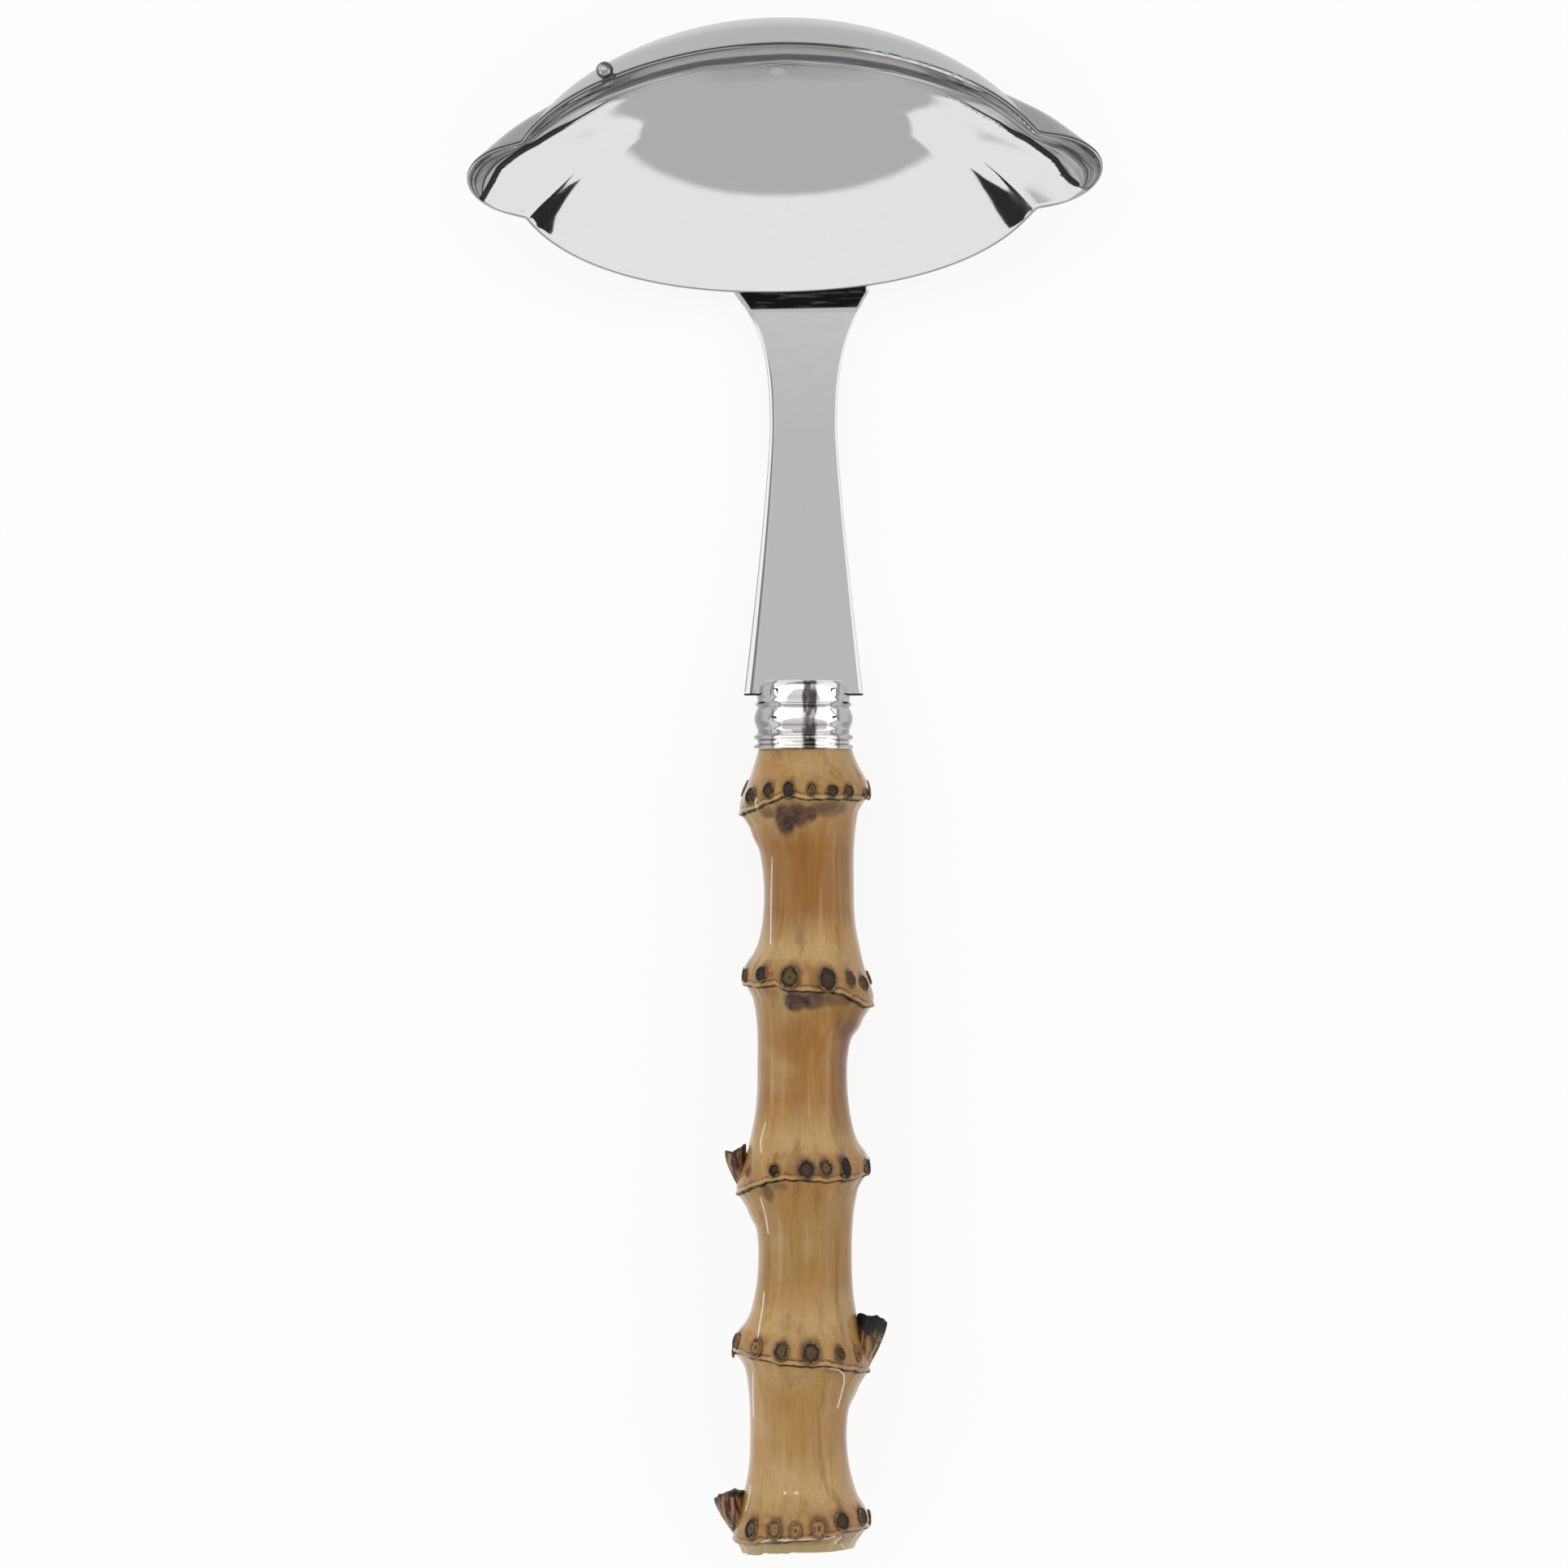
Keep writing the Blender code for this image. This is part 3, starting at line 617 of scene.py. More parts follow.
rings, inset, bevel = [], [], []
stations = [
    *(STEM_FOOT_S + STEM_EASE * (1 - np.cos(np.radians([0, 30, 60, 90])))),
    *np.linspace(STEM_FOOT_S + STEM_EASE, STEM_WAIST_S, 60)[1:-1],
    *np.linspace(STEM_WAIST_S, STEM_DIP_S - 1, 30)[:-1],
    *np.linspace(STEM_DIP_S - 1, STEM_FLARE_S, 26)[:-1],
    *np.linspace(STEM_FLARE_S, STEM_END_S, 30),
]
for i, s in enumerate(stations):
    ease = STEM_EASE * (1 - math.sin(math.radians(min(i * 30, 90))))
    half = stem_width(s) / 2 - ease * 0.5
    thick = stem_thickness(s)
    dip = float(smooth((s - STEM_DIP_S) / (STEM_FLARE_S - STEM_DIP_S)))
    along = min((s - STEM_FOOT_S) / (STEM_WAIST_S - STEM_FOOT_S), 1.0)
    right = BEVEL_RIGHT_TOP + (BEVEL_RIGHT_FOOT - BEVEL_RIGHT_TOP) * (1 - along) ** 3
    left = (BEVEL_FOOT + (BEVEL_TOP - BEVEL_FOOT) * along) * (1 - dip) + BEVEL_UNDER_RIM * dip
    lean = STEM_LEAN * float(np.clip((s - STEM_LEAN_S) / (STEM_FLARE_S - STEM_LEAN_S), 0, 1)) ** 2
    tops = [(-half - lean + left * a, left * b) for a, b in BEVEL_SHAPE]
    low, high = -half - lean + left, half - right
    flat = (low + LINE_FOOT, *np.linspace(low, high, 13)[1:-1], high - LINE_FOOT, high)
    tops += [(x, 0.0) for x in flat]
    tops += [(half - right * a, right * b) for a, b in EASED_EDGE]
    ring = []
    floor = []
    for x, drop in tops:
        top = thick / 2 * (1 - dip) + (bowl_underside(x, s) + 0.02) * dip
        ring.append((x, s, top - drop - ease))
        floor.append((x * 0.985, s, top - thick + ease))
    rings.append(ring + floor[::-1])
    inset += [min((x + half + lean) * 0.55, half - x) for x, _ in tops] + [0.0] * len(floor)
    bevel += [a for a, _ in BEVEL_SHAPE] + [1.5] * (2 * len(tops) - len(BEVEL_SHAPE))
points = [p for ring in rings for p in ring]
stem_steel, t = new_material("stem_steel")
tint, rough, relief = steel(t, (0.69, 0.685, 0.685), 0.012, (6.0, 0.3, 6.0))
x, s, _ = t.parts(t.ladle_axes())
streak = t.noise(t.ladle_axes((0.22, 2.2, 1.0)), 1.0, detail=3.0)
# A dark reflection painted in the hollow of the bevel, up to the flare
ground = t.attribute("bevel")
hollow = ground.step(0.5, 0.62) * ground.step(1.16, 1.02) * s.step(RECESS_S, 152.0)
shaded = t.blend(ground.step(0.6, 1.0), (0.1, 0.098, 0.098), (0.42, 0.418, 0.418))
tint = t.blend(hollow, tint, shaded)
# A near-black line painted along the very foot of the bar
tint = t.blend(s.step(STEM_FOOT_S + 0.32, STEM_FOOT_S + 0.22) * 0.97, tint, PAINTED_BLACK)
# Painted shade under the rim, near black and streaked
shadow = (s - 0.02 * x).step(RECESS_S - 0.1, RECESS_S + 0.1) * t.attribute("inset").step(0.36, 0.46)
painted_shade_streaks = t.blend(streak.step(0.5, 0.72), (0.012, 0.012, 0.012), (0.12, 0.118, 0.115))
t.finish_steel(t.blend(shadow, tint, painted_shade_streaks), rough + 0.15 * shadow, relief)
stem = piece("stem", points, skin(len(rings), len(rings[0])), stem_steel, ["stem"])
marked(stem, inset=inset, bevel=bevel)


# Ferrule: a collar turned from steel rod, domed over the foot of the stem, ribbed, and flared at
# its lip over the bamboo. The tree turns its outline round the handle's axis.
FERRULE_FOOT_S = 104.66
FERRULE_LENGTH = 8.84
FERRULE_RADIUS = 6.0
FERRULE_BORE = 5.2
FERRULE_SHOULDER = 1.2
# Ribs: start above the foot, length, height over the barrel. The first and last ones only round
# its two ends over
FERRULE_RIBS = (
    (-0.3, 0.9, 0.5), (0.95, 0.95, 0.5), (2.45, 2.75, 0.42), (5.35, 0.7, 0.28), (6.05, 2.6, 0.08),
)
FERRULE_GROOVES = (110.28, 107.7, 106.75)  # grooves between the ribs, painted dark as shade
PANEL_X, PANEL_HALF_WIDTH = 0.25, 4.1  # a white card mirrored in the front, painted
STRIPE_X = 0.75  # the dark stripe down its middle, a painted reflection
FERRULE_AROUND = 160
FERRULE_ROWS = 190


def tree_group(name, inputs):
    """An empty geometry tree with named number inputs and a material input."""
    tree = bpy.data.node_groups.new(name, "GeometryNodeTree")
    tree.is_modifier = True
    tree.interface.new_socket("Geometry", in_out="INPUT", socket_type="NodeSocketGeometry")
    for label, kind in inputs:
        tree.interface.new_socket(label, in_out="INPUT", socket_type=kind)
    tree.interface.new_socket("Geometry", in_out="OUTPUT", socket_type="NodeSocketGeometry")
    return tree


class Geometry(Tree):
    """The same way of writing trees, for geometry."""

    def __init__(self, tree):
        self.nodes = tree.nodes
        self.links = tree.links
        self.start = tree.nodes.new("NodeGroupInput")
        self.end = tree.nodes.new("NodeGroupOutput")

    def given(self, name):
        return Wire(self, self.start.outputs[name])

    def close(self, shape):
        real = self.add("GeometryNodeRealizeInstances", {}, {"Geometry": shape})
        values = {"Geometry": real, "Material": self.given("Material")}
        faced = self.add("GeometryNodeSetMaterial", {}, values)
        self.links.new(faced.socket, self.end.inputs["Geometry"])


def grow(name, tree, values, start, replaces=()):
    """The plain mesh that a tree makes of a start mesh, put in its place, riding on its body."""
    seed = bpy.data.objects.new(name, start)
    bpy.context.scene.collection.objects.link(seed)
    modifier = seed.modifiers.new(name, "NODES")
    modifier.node_group = tree
    for item in tree.interface.items_tree:
        if item.in_out == "INPUT" and item.name in values:
            modifier[item.identifier] = values[item.name]
    bpy.context.view_layer.update()
    grown = seed.evaluated_get(bpy.context.evaluated_depsgraph_get())
    mesh = bpy.data.meshes.new_from_object(grown)
    seed.modifiers.remove(modifier)
    seed.data = mesh
    mesh.transform(lie)
    face_out(mesh)
    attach(seed, "root")
    if replaces:
        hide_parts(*replaces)


rib_sizes = [(i, label) for i in range(len(FERRULE_RIBS)) for label in ("Start", "Length", "Height")]
turned = tree_group(
    "turned_collar",
    [(label, "NodeSocketFloat") for label in ("Foot", "Length", "Radius", "Bore", "Shoulder")]
    + [(f"Rib {i} {label}", "NodeSocketFloat") for i, label in rib_sizes]
    + [("Around", "NodeSocketInt"), ("Rows", "NodeSocketInt"), ("Material", "NodeSocketMaterial")],
)
g = Geometry(turned)
counts = {"Vertices X": g.given("Around"), "Vertices Y": g.given("Rows")}
grid = g.add("GeometryNodeMeshGrid", {}, {"Size X": 1.0, "Size Y": 1.0, **counts})
x, y, _ = g.parts(g.add("GeometryNodeInputPosition", {}, {}))
row = y + 0.5
turn = x * (2 * math.pi)
height = (row * 1.03 - 0.015).maths("MINIMUM", 1.0).maths("MAXIMUM", 0.0) * g.given("Length")
radius = g.given("Radius")
for i in range(len(FERRULE_RIBS)):
    share = (height - g.given(f"Rib {i} Start")) / g.given(f"Rib {i} Length")
    share = share.maths("MINIMUM", 1.0).maths("MAXIMUM", 0.0)
    radius = radius + (share * math.pi).maths("SINE") * g.given(f"Rib {i} Height")
fall = (height - g.given("Length") + g.given("Shoulder")).maths("MAXIMUM", 0.0) / g.given("Shoulder")
radius = radius - (1 - (1 - fall * fall).maths("SQRT")) * g.given("Shoulder")
closed = (row - 0.01).maths("LESS_THAN", 0.0)
radius = radius * (1 - closed) + g.given("Bore") * closed
top = (row - 0.99).maths("GREATER_THAN", 0.0)
radius = radius * (1 - top * (row - 0.99) * 60)
right, out = turn.maths("COSINE") * radius, turn.maths("SINE") * radius
where = g.add("ShaderNodeCombineXYZ", {}, {0: right, 1: height + g.given("Foot"), 2: out})
shaped = g.add("GeometryNodeSetPosition", {}, {"Geometry": grid, "Position": where})
joined = g.add("GeometryNodeMergeByDistance", {}, {"Geometry": shaped, "Distance": 0.002})
g.close(g.add("GeometryNodeSetShadeSmooth", {}, {"Geometry": joined}))

ferrule_steel, t = new_material("ferrule_steel")
tint, rough, relief = steel(t, (0.56, 0.552, 0.545), 0.012, (0.5, 9.0, 0.5))
x, s, _ = t.parts(t.ladle_axes())
drift = t.noise(t.ladle_axes((0.3, 0.9, 0.3)), 1.0)
nap = t.noise(t.ladle_axes((1.6, 0.5, 1.0)), 1.0, detail=3.0)
# Painted reflections: a white panel down the front with a dark line round it, grey past it and darker at the
# sides, a dark stripe down its middle; painted shade in the grooves, less in the panel
edge = (x - PANEL_X).maths("ABSOLUTE") + (drift - 0.5) * 0.3
in_panel = edge.step(PANEL_HALF_WIDTH, PANEL_HALF_WIDTH + 0.25)
near_groove = (s - 112.3).maths("ABSOLUTE").step(0.5, 1.1) * 0.7 * s.step(110.8, 111.4)
for groove_s in FERRULE_GROOVES:
    groove = (s - groove_s).maths("ABSOLUTE")
    near_groove = near_groove.maths("MAXIMUM", groove.step(0.75, 0.15))
    tint = t.blend(groove.step(0.17, 0.06) * (0.92 - 0.6 * in_panel), tint, (0.04, 0.038, 0.037))
edge = edge + near_groove * near_groove * 0.9
panel = edge.step(4.25, 3.95)
rounded = t.blend(edge.step(3.9, 4.2), tint, (0.46, 0.455, 0.45))
tint = t.blend(panel * (0.9 - 0.5 * near_groove), rounded, (1.0, 0.98, 0.965))
tint = t.blend((edge - 4.25).maths("ABSOLUTE").step(0.3, 0.05) * 0.6, tint, (0.12, 0.115, 0.11))
stripe = ((x - STRIPE_X).maths("ABSOLUTE") + (nap - 0.5) * 0.9).step(1.15, 0.65)
tint = t.blend(stripe * (0.96 - 0.35 * nap.step(0.45, 0.7)), tint, (0.07, 0.065, 0.062))
tint = t.blend(edge.step(5.3, 6.0) * 0.6, tint, (0.13, 0.125, 0.12))
t.finish_steel(tint, rough, relief)
sizes = {
    "Foot": FERRULE_FOOT_S,
    "Length": FERRULE_LENGTH,
    "Radius": FERRULE_RADIUS,
    "Bore": FERRULE_BORE,
    "Shoulder": FERRULE_SHOULDER,
    "Around": FERRULE_AROUND + 1,
    "Rows": FERRULE_ROWS,
    "Material": ferrule_steel,
}
for (i, label), value in zip(rib_sizes, np.ravel(FERRULE_RIBS)):
    sizes[f"Rib {i} {label}"] = float(value)
grow("ferrule", turned, sizes, bpy.data.meshes.new("ferrule"), ["ferrule"])


# Tang and its filler: a plain drawn rod in cast resin, both out of sight in the handle. They keep
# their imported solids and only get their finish.
def dress(node, material):
    """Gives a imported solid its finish."""
    slots = frame["nodes"][node].data.materials
    slots.clear()
    slots.append(material)


tang_steel, t = new_material("tang_steel")
t.finish_steel(*steel(t, (0.5, 0.5, 0.49), 0.05, (8.0, 0.2, 8.0)))
dress("tang", tang_steel)
resin, t = new_material("resin")
cloud = t.noise(t.ladle_axes(), 0.6, detail=4.0)
t.finish(
    Base_Color=t.blend(cloud, (0.26, 0.19, 0.1), (0.42, 0.33, 0.2)),
    Roughness=0.35 + 0.2 * cloud,
    Normal=t.bump(cloud, 0.5, 0.1 * MM),
)
dress("tang_resin", resin)


# Handle: one length of bamboo root, dried, sawn at both ends and varnished. At each knot a ragged
# ledge stands over the joint below, with a belt of cut root ends on the swelling above it.
NODE_S = (2.8, 24.7, 48.2, 72.9, 97.5)
NODE_RADIUS = (8.9, 8.9, 8.75, 8.65, 8.45)
NODE_SHIFT = (-0.4, -0.3, -0.1, 0.6, 0.1)
WAIST_S = (0.0, 15.5, 38.8, 62.6, 85.8, 104.6)
WAIST_RADIUS = (7.4, 6.3, 6.2, 5.95, 5.9, 6.1)
WAIST_SHIFT = (-0.7, -0.75, 0.15, -0.2, 0.7, 0.3)
NODE_SHAPE = ((-1.5, -1.3), (-0.5, -0.6), (0, -0.1), (0.9, 0), (2, -0.15), (3, -0.6), (4.2, -1.25))
FLARE_POWER = 2.4
NECK_POWER = 1.2
# Ledge of each knot: cosine of the angle round the handle, distance above the knot
LEDGES = (
    ((-0.99, -1.4), (0.0, -0.8), (0.49, -0.5), (0.6, 0.2), (0.92, 0.4)),
    ((-0.9, 1.2), (-0.3, 0.2), (0.25, -0.1), (0.92, -1.2)),
    ((-0.98, -1.5), (-0.56, 0.1), (-0.15, 0.4), (0.69, 0.4), (0.91, 0.9)),
    ((-0.9, 0.9), (-0.49, 0.9), (-0.31, 0.2), (0.12, 0.1), (0.55, -0.3), (0.89, -1.8)),
    ((-0.95, -1.5), (-0.65, -0.4), (-0.34, 0.6), (0.47, 0.6), (0.89, 0.4)),
)
CUT_LINE = ((-1.0, 1.3), (-0.35, 0.75), (0.15, 0.45), (0.6, 0.45), (0.9, 0.6))
# Root scars that show from the front: angle, place, half width, half height, how charred, ringed
SCARS = (
    (146, 98.5, 0.95, 1.05, 0.9, 0.2), (124, 99.2, 0.8, 1.0, 0.85, 0.3), (104, 99.3, 0.75, 1.1, 1.0, 0.3),
    (84, 99.3, 0.6, 0.85, 0.6, 0.6), (65, 99.1, 0.8, 0.8, 0.85, 0.3), (47, 99.1, 0.8, 0.85, 0.7, 0.4),
    (18, 98.8, 0.9, 0.7, 0.7, 0.2),
    (163, 75.2, 0.8, 0.85, 0.7, 0.2), (134, 75.4, 0.9, 1.0, 0.75, 0.1), (106, 75.0, 1.2, 1.5, 0.9, 0.8),
    (73, 74.7, 1.15, 1.55, 1.0, 0.3), (48, 74.8, 0.8, 1.1, 0.6, 0.1), (27, 74.2, 0.9, 1.0, 0.8, 0.2),
    (146, 49.7, 0.5, 0.6, 0.5, 0.0), (115, 50.0, 0.75, 0.8, 0.95, 0.0), (87, 50.1, 1.05, 1.2, 1.0, 0.4),
    (70, 50.3, 0.85, 1.1, 0.9, 1.0), (51, 50.3, 0.8, 1.4, 1.0, 0.0), (20, 50.3, 0.9, 1.0, 1.0, 0.2),
    (162, 27.7, 1.0, 1.0, 0.6, 0.2), (130, 27.0, 0.85, 1.2, 0.5, 1.0), (107, 26.6, 0.95, 1.2, 0.9, 0.9),
    (82, 26.4, 1.15, 1.4, 1.0, 0.8), (55, 26.2, 0.75, 1.0, 0.6, 0.0), (31, 26.0, 0.7, 0.95, 0.5, 0.0),
    (136, 3.5, 0.95, 1.35, 0.75, 0.8), (112, 3.5, 0.95, 1.3, 0.5, 1.0), (94, 3.4, 0.75, 1.1, 0.35, 1.0),
    (74, 3.7, 1.05, 1.35, 0.45, 1.0), (52, 4.5, 1.05, 1.2, 0.9, 0.3), (22, 4.9, 1.1, 1.1, 1.0, 0.2),
)
BACK_SCARS = 9  # root ends at the back of each knot
# Stains under the ledges: angle, place, half width in degrees, half length, strength
STAINS = (
    (112, 95.4, 14, 2.5, 1.0), (98, 96.0, 17, 1.9, 1.0), (84, 96.2, 10, 1.4, 0.9), (66, 96.8, 32, 1.4, 0.75),
    (128, 96.2, 14, 1.0, 0.7),
    (103, 71.8, 14, 1.5, 1.0), (86, 71.9, 18, 1.4, 0.9), (62, 72.0, 26, 1.1, 0.7),
    (127, 47.0, 9, 1.6, 0.75), (112, 47.9, 12, 0.7, 0.6), (60, 24.0, 14, 0.8, 0.5),
)
# Thin glints painted on the varnish: lines by x and s as seen
GLINTS = (
    ((-4.1, 90.5), (-4.2, 86.0), (-4.25, 82.0), (-4.3, 79.0)), ((-6.1, 98.2), (-6.3, 97.6), (-6.0, 96.6)),
    ((-5.5, 51.9), (-5.6, 53.5), (-4.9, 56.0)), ((-5.6, 46.2), (-4.9, 43.6), (-4.6, 41.5)),
    ((-5.1, 34.0), (-5.3, 32.0), (-5.8, 29.0), (-6.0, 27.6)), ((-6.6, 23.4), (-6.6, 20.5), (-6.5, 17.5)),
    ((3.3, 23.9), (4.6, 23.7), (5.3, 23.1), (5.3, 22.0), (4.9, 20.4), (4.4, 18.6)),
    ((-6.9, 8.8), (-7.1, 7.0), (-7.6, 5.2)),
    ((-2.9, 7.9), (-2.0, 7.5), (-1.0, 7.6), (-0.2, 8.0)), ((4.9, 1.9), (4.0, 1.2), (5.0, 0.9), (5.3, 0.5)),
    ((-5.6, 1.2), (-4.4, 1.6), (-2.4, 1.5), (0.6, 1.6), (3.2, 1.75), (4.1, 2.0)),
)
# The root is palest over each knot's belt, and darker down each joint, the more so by the ferrule
PALE_ROOT = (178, 146, 97)
JOINT_SHADES = ((166, 131, 82), (157, 123, 77), (151, 112, 66), (146, 106, 61))
GLINT_WIDTH = 0.12
# Waves of the ledges and of the root's roundness: how many go round, and how high they are
LEDGE_WAVES = ((3, 0.12), (7, 0.07), (13, 0.06), (23, 0.05), (37, 0.03))
ROUND_WAVES = ((2, 0.09), (3, 0.07), (5, 0.035), (9, 0.02))
FULL_TURN = 6.28  # how far round a wave may start
END_CAP = ((0.2, 0.05), (0.5, 0.08), (0.82, 0.06))  # sawn end: share of its radius, how far sunk
HANDLE_AROUND = 232
SHEEN = 0.03  # light that the varnish adds to every colour under it


def tone(red, green, blue):
    """A colour as it is seen, from 0 to 255, less the sheen of the varnish over it."""
    return tuple(max((v / 255) ** 2.2 * 1.04 - SHEEN, 0.004) for v in (red, green, blue))


def handle_centre(s):
    """Sideways offset of the root at s, smooth through waists and knots."""
    places, shifts = zip(*sorted(zip(WAIST_S + NODE_S, WAIST_SHIFT + NODE_SHIFT)))
    i = np.clip(np.searchsorted(places, s) - 1, 0, len(places) - 2)
    low, high = np.take(places, i), np.take(places, i + 1)
    part = smooth((s - low) / (high - low))
    return np.take(shifts, i) * (1 - part) + np.take(shifts, i + 1) * part


def plain_radius(s):
    """Radius of the root at s without its ledges and scars."""
    for i, (ring_s, ring_r) in enumerate(zip(NODE_S, NODE_RADIUS)):
        if s <= WAIST_S[i + 1] or i == len(NODE_S) - 1:
            break
    d = s - ring_s
    offsets, changes = zip(*NODE_SHAPE)
    if d < offsets[0]:
        waist, edge = (WAIST_S[i], WAIST_RADIUS[i]), (ring_s + offsets[0], ring_r + changes[0])
        power = FLARE_POWER
    elif d > offsets[-1]:
        waist, edge = (WAIST_S[i + 1], WAIST_RADIUS[i + 1]), (ring_s + offsets[-1], ring_r + changes[-1])
        power = NECK_POWER if i == len(NODE_S) - 1 else FLARE_POWER
    else:
        return ring_r + float(np.interp(d, offsets, changes))
    part = abs(s - waist[0]) / abs(edge[0] - waist[0])
    return waist[1] + (edge[1] - waist[1]) * min(part, 1.0) ** power


rng = np.random.default_rng(7)
fine = np.arange(0, WAIST_S[-1] + 0.05, 0.05)
raw = np.array([plain_radius(s) for s in fine])
kernel = np.hanning(17)
profile = np.convolve(np.pad(raw, 8, mode="edge"), kernel / kernel.sum(), mode="valid")

stations = [0.0]
while stations[-1] < WAIST_S[-1]:
    d = min((stations[-1] - n for n in NODE_S), key=abs)
    stations.append(stations[-1] + (0.1 if -0.9 < d < 1.1 else 0.19 if -1.6 < d < 4 else 0.46))
stations[-1] = WAIST_S[-1]
angles = np.linspace(0, 2 * math.pi, HANDLE_AROUND, endpoint=False)
q, a = np.meshgrid(np.array(stations), angles, indexing="ij")
gaps = q[..., None] - np.array(NODE_S)
nearest = np.abs(gaps).argmin(-1)
from_ring = np.take_along_axis(gaps, nearest[..., None], -1)[..., 0]
lift = np.zeros_like(q)
for i, ledge in enumerate(LEDGES):
    line = np.interp(np.cos(a), *zip(*ledge))
    for turns, size in LEDGE_WAVES:
        line += size * np.sin(turns * a + rng.uniform(0, FULL_TURN))
    line += 0.5 * np.sin(3 * a + i) * smooth(-2 * np.sin(a))
    near = smooth((7 - np.abs(from_ring)) / 5) if i else smooth((5 - np.abs(from_ring)) / 2)
    lift += np.where(nearest == i, line * near, 0)
by_cut = np.clip(1 - q / 1.2, 0, 1)
lift += (np.interp(np.cos(a), *zip(*CUT_LINE)) - lift) * by_cut
place = q + lift

radius = np.interp(q, fine, profile)
# Under the ledge the root draws in; over it come a ridge and a groove
radius -= np.where(from_ring < 0, 0.3 * np.exp(from_ring / 0.8), 0)
radius += 0.13 * np.exp(-(((from_ring - 0.25) / 0.2) ** 2))
radius -= 0.1 * np.exp(-(((from_ring - 0.75) / 0.16) ** 2))
for turns, size in ROUND_WAVES:
    radius += size * np.sin(turns * a + np.interp(q, NODE_S, rng.uniform(0, FULL_TURN, len(NODE_S))))

scars = list(SCARS)
for i, ring_s in enumerate(NODE_S):
    for k in range(BACK_SCARS):
        turn = 182 + 176 * (k + 0.5) / BACK_SCARS + rng.uniform(-4, 4)
        size = rng.uniform(0.7, 1.1)
        at = ring_s + rng.uniform(1.6, 2.1) - 0.3 * (i == 0)
        scars.append((turn, at, size, size * 1.2, rng.uniform(0.4, 1), rng.uniform(0, 1)))
scar_near = np.zeros_like(q)
for turn, at, wide, tall, _, _ in scars:
    off = (a - math.radians(turn) + math.pi) % (2 * math.pi) - math.pi
    far = (off * 8.6 / wide) ** 2 + ((place - at) / tall) ** 2
    radius += 0.16 * np.exp(-far / 1.3)
    scar_near = np.maximum(scar_near, np.exp(-far / 2.2))
stain = np.zeros_like(q)
for turn, at, wide, tall, strength in STAINS:
    off = (np.degrees(a) - turn + 180) % 360 - 180
    far = (off / wide) ** 2 + ((place - at) / tall) ** 2
    stain = np.maximum(stain, strength * np.exp(-(far**2)))

centre = handle_centre(q)
grid = np.stack([centre + radius * np.cos(a), place, radius * np.sin(a)], axis=-1)
glints = np.min([np.abs(beside(as_seen(grid).reshape(-1, 2), line)) for line in GLINTS], axis=0)
glints = np.exp(-((glints / GLINT_WIDTH) ** 2)) * (grid[..., 2].ravel() > 0)
caps = []
for share, sink in END_CAP:
    row = grid[0].copy()
    row[:, 0] = centre[0, 0] + (row[:, 0] - centre[0, 0]) * share
    row[:, 2] *= share
    row[:, 1] += sink
    caps.append(row)
rows = caps + list(grid)
points = [p for row in rows for p in row]

bamboo, t = new_material("bamboo")
axes = t.ladle_axes()
x, s, _ = t.parts(axes)
gap = t.attribute("from_ring")
scar = t.attribute("scar_near")
stained = t.attribute("stain")
cut = t.attribute("cut")
streak = t.noise(t.ladle_axes((0.45, 0.02, 0.45)), 1.0, detail=3.0, rough=0.6)
fibre = t.noise(t.ladle_axes((3.2, 0.09, 3.2)), 1.0, detail=3.0, rough=0.65)
cloud = t.noise(axes, 0.16, detail=3.0)
mottle = t.noise(axes, 0.9, detail=4.0, rough=0.6)
along = [(0.0, tone(160, 130, 90))]
for ring_s, next_s, shade in zip(NODE_S, NODE_S[1:], JOINT_SHADES):
    for at, shown in ((ring_s + 6, PALE_ROOT), (ring_s + 10.5, shade), (next_s - 6, shade)):
        along.append((at / WAIST_S[-1], tone(*shown)))
along += [(NODE_S[-1] / WAIST_S[-1], tone(*PALE_ROOT)), (1.0, tone(*JOINT_SHADES[0]))]
colour = t.ramp(s / WAIST_S[-1] + (cloud - 0.5) * 0.03, along)
colour = t.blend(streak.step(0.52, 0.72) * 0.5, colour, tone(120, 76, 36))
colour = t.blend(streak.step(0.46, 0.28) * 0.4, colour, tone(196, 160, 108))
# The right side is painted darker, more so along the third joint: painted shade
shade = x.step(2.5, 5.5) * (s.step(52.0, 58.0) * s.step(72.0, 68.0) * 0.5 + 0.22)
colour = t.blend(shade, colour, tone(84, 50, 28))
colour = t.blend(fibre.step(0.4, 0.7) * 0.2, colour, tone(104, 66, 34))
near = gap.maths("ABSOLUTE").step(9.0, 7.0) * t.attribute("by_knot").step(0.05, 0.2)
belt = gap.step(0.3, 0.9) * gap.step(4.6, 2.6) * near
colour = t.blend(belt * (0.25 + 0.5 * mottle.step(0.45, 0.7)), colour, tone(150, 104, 54))
colour = t.blend(cloud.step(0.5, 0.36) * 0.3, colour, tone(158, 112, 44))
colour = t.blend(cloud.step(0.5, 0.8) * 0.3, colour, tone(192, 166, 126))
colour = t.blend(belt * streak.step(0.45, 0.6) * 0.35, colour, tone(118, 90, 42))
colour = t.blend((scar * 1.2 - 0.15 + mottle * 0.3).step(0.25, 0.95) * 0.85, colour, tone(74, 46, 28))
blot = t.noise(axes, 0.55, detail=4.0, rough=0.7)
wet = (stained + (blot - 0.5) * 1.0).step(0.36, 0.48) * stained.step(0.05, 0.2)
blotched = t.blend(blot.step(0.3, 0.7), tone(60, 38, 22), tone(116, 88, 68))
colour = t.blend(wet * (0.3 + 0.7 * stained.step(0.45, 0.9)), colour, blotched)
line = gap.step(-0.24, -0.04) * gap.step(0.24, 0.06) * near
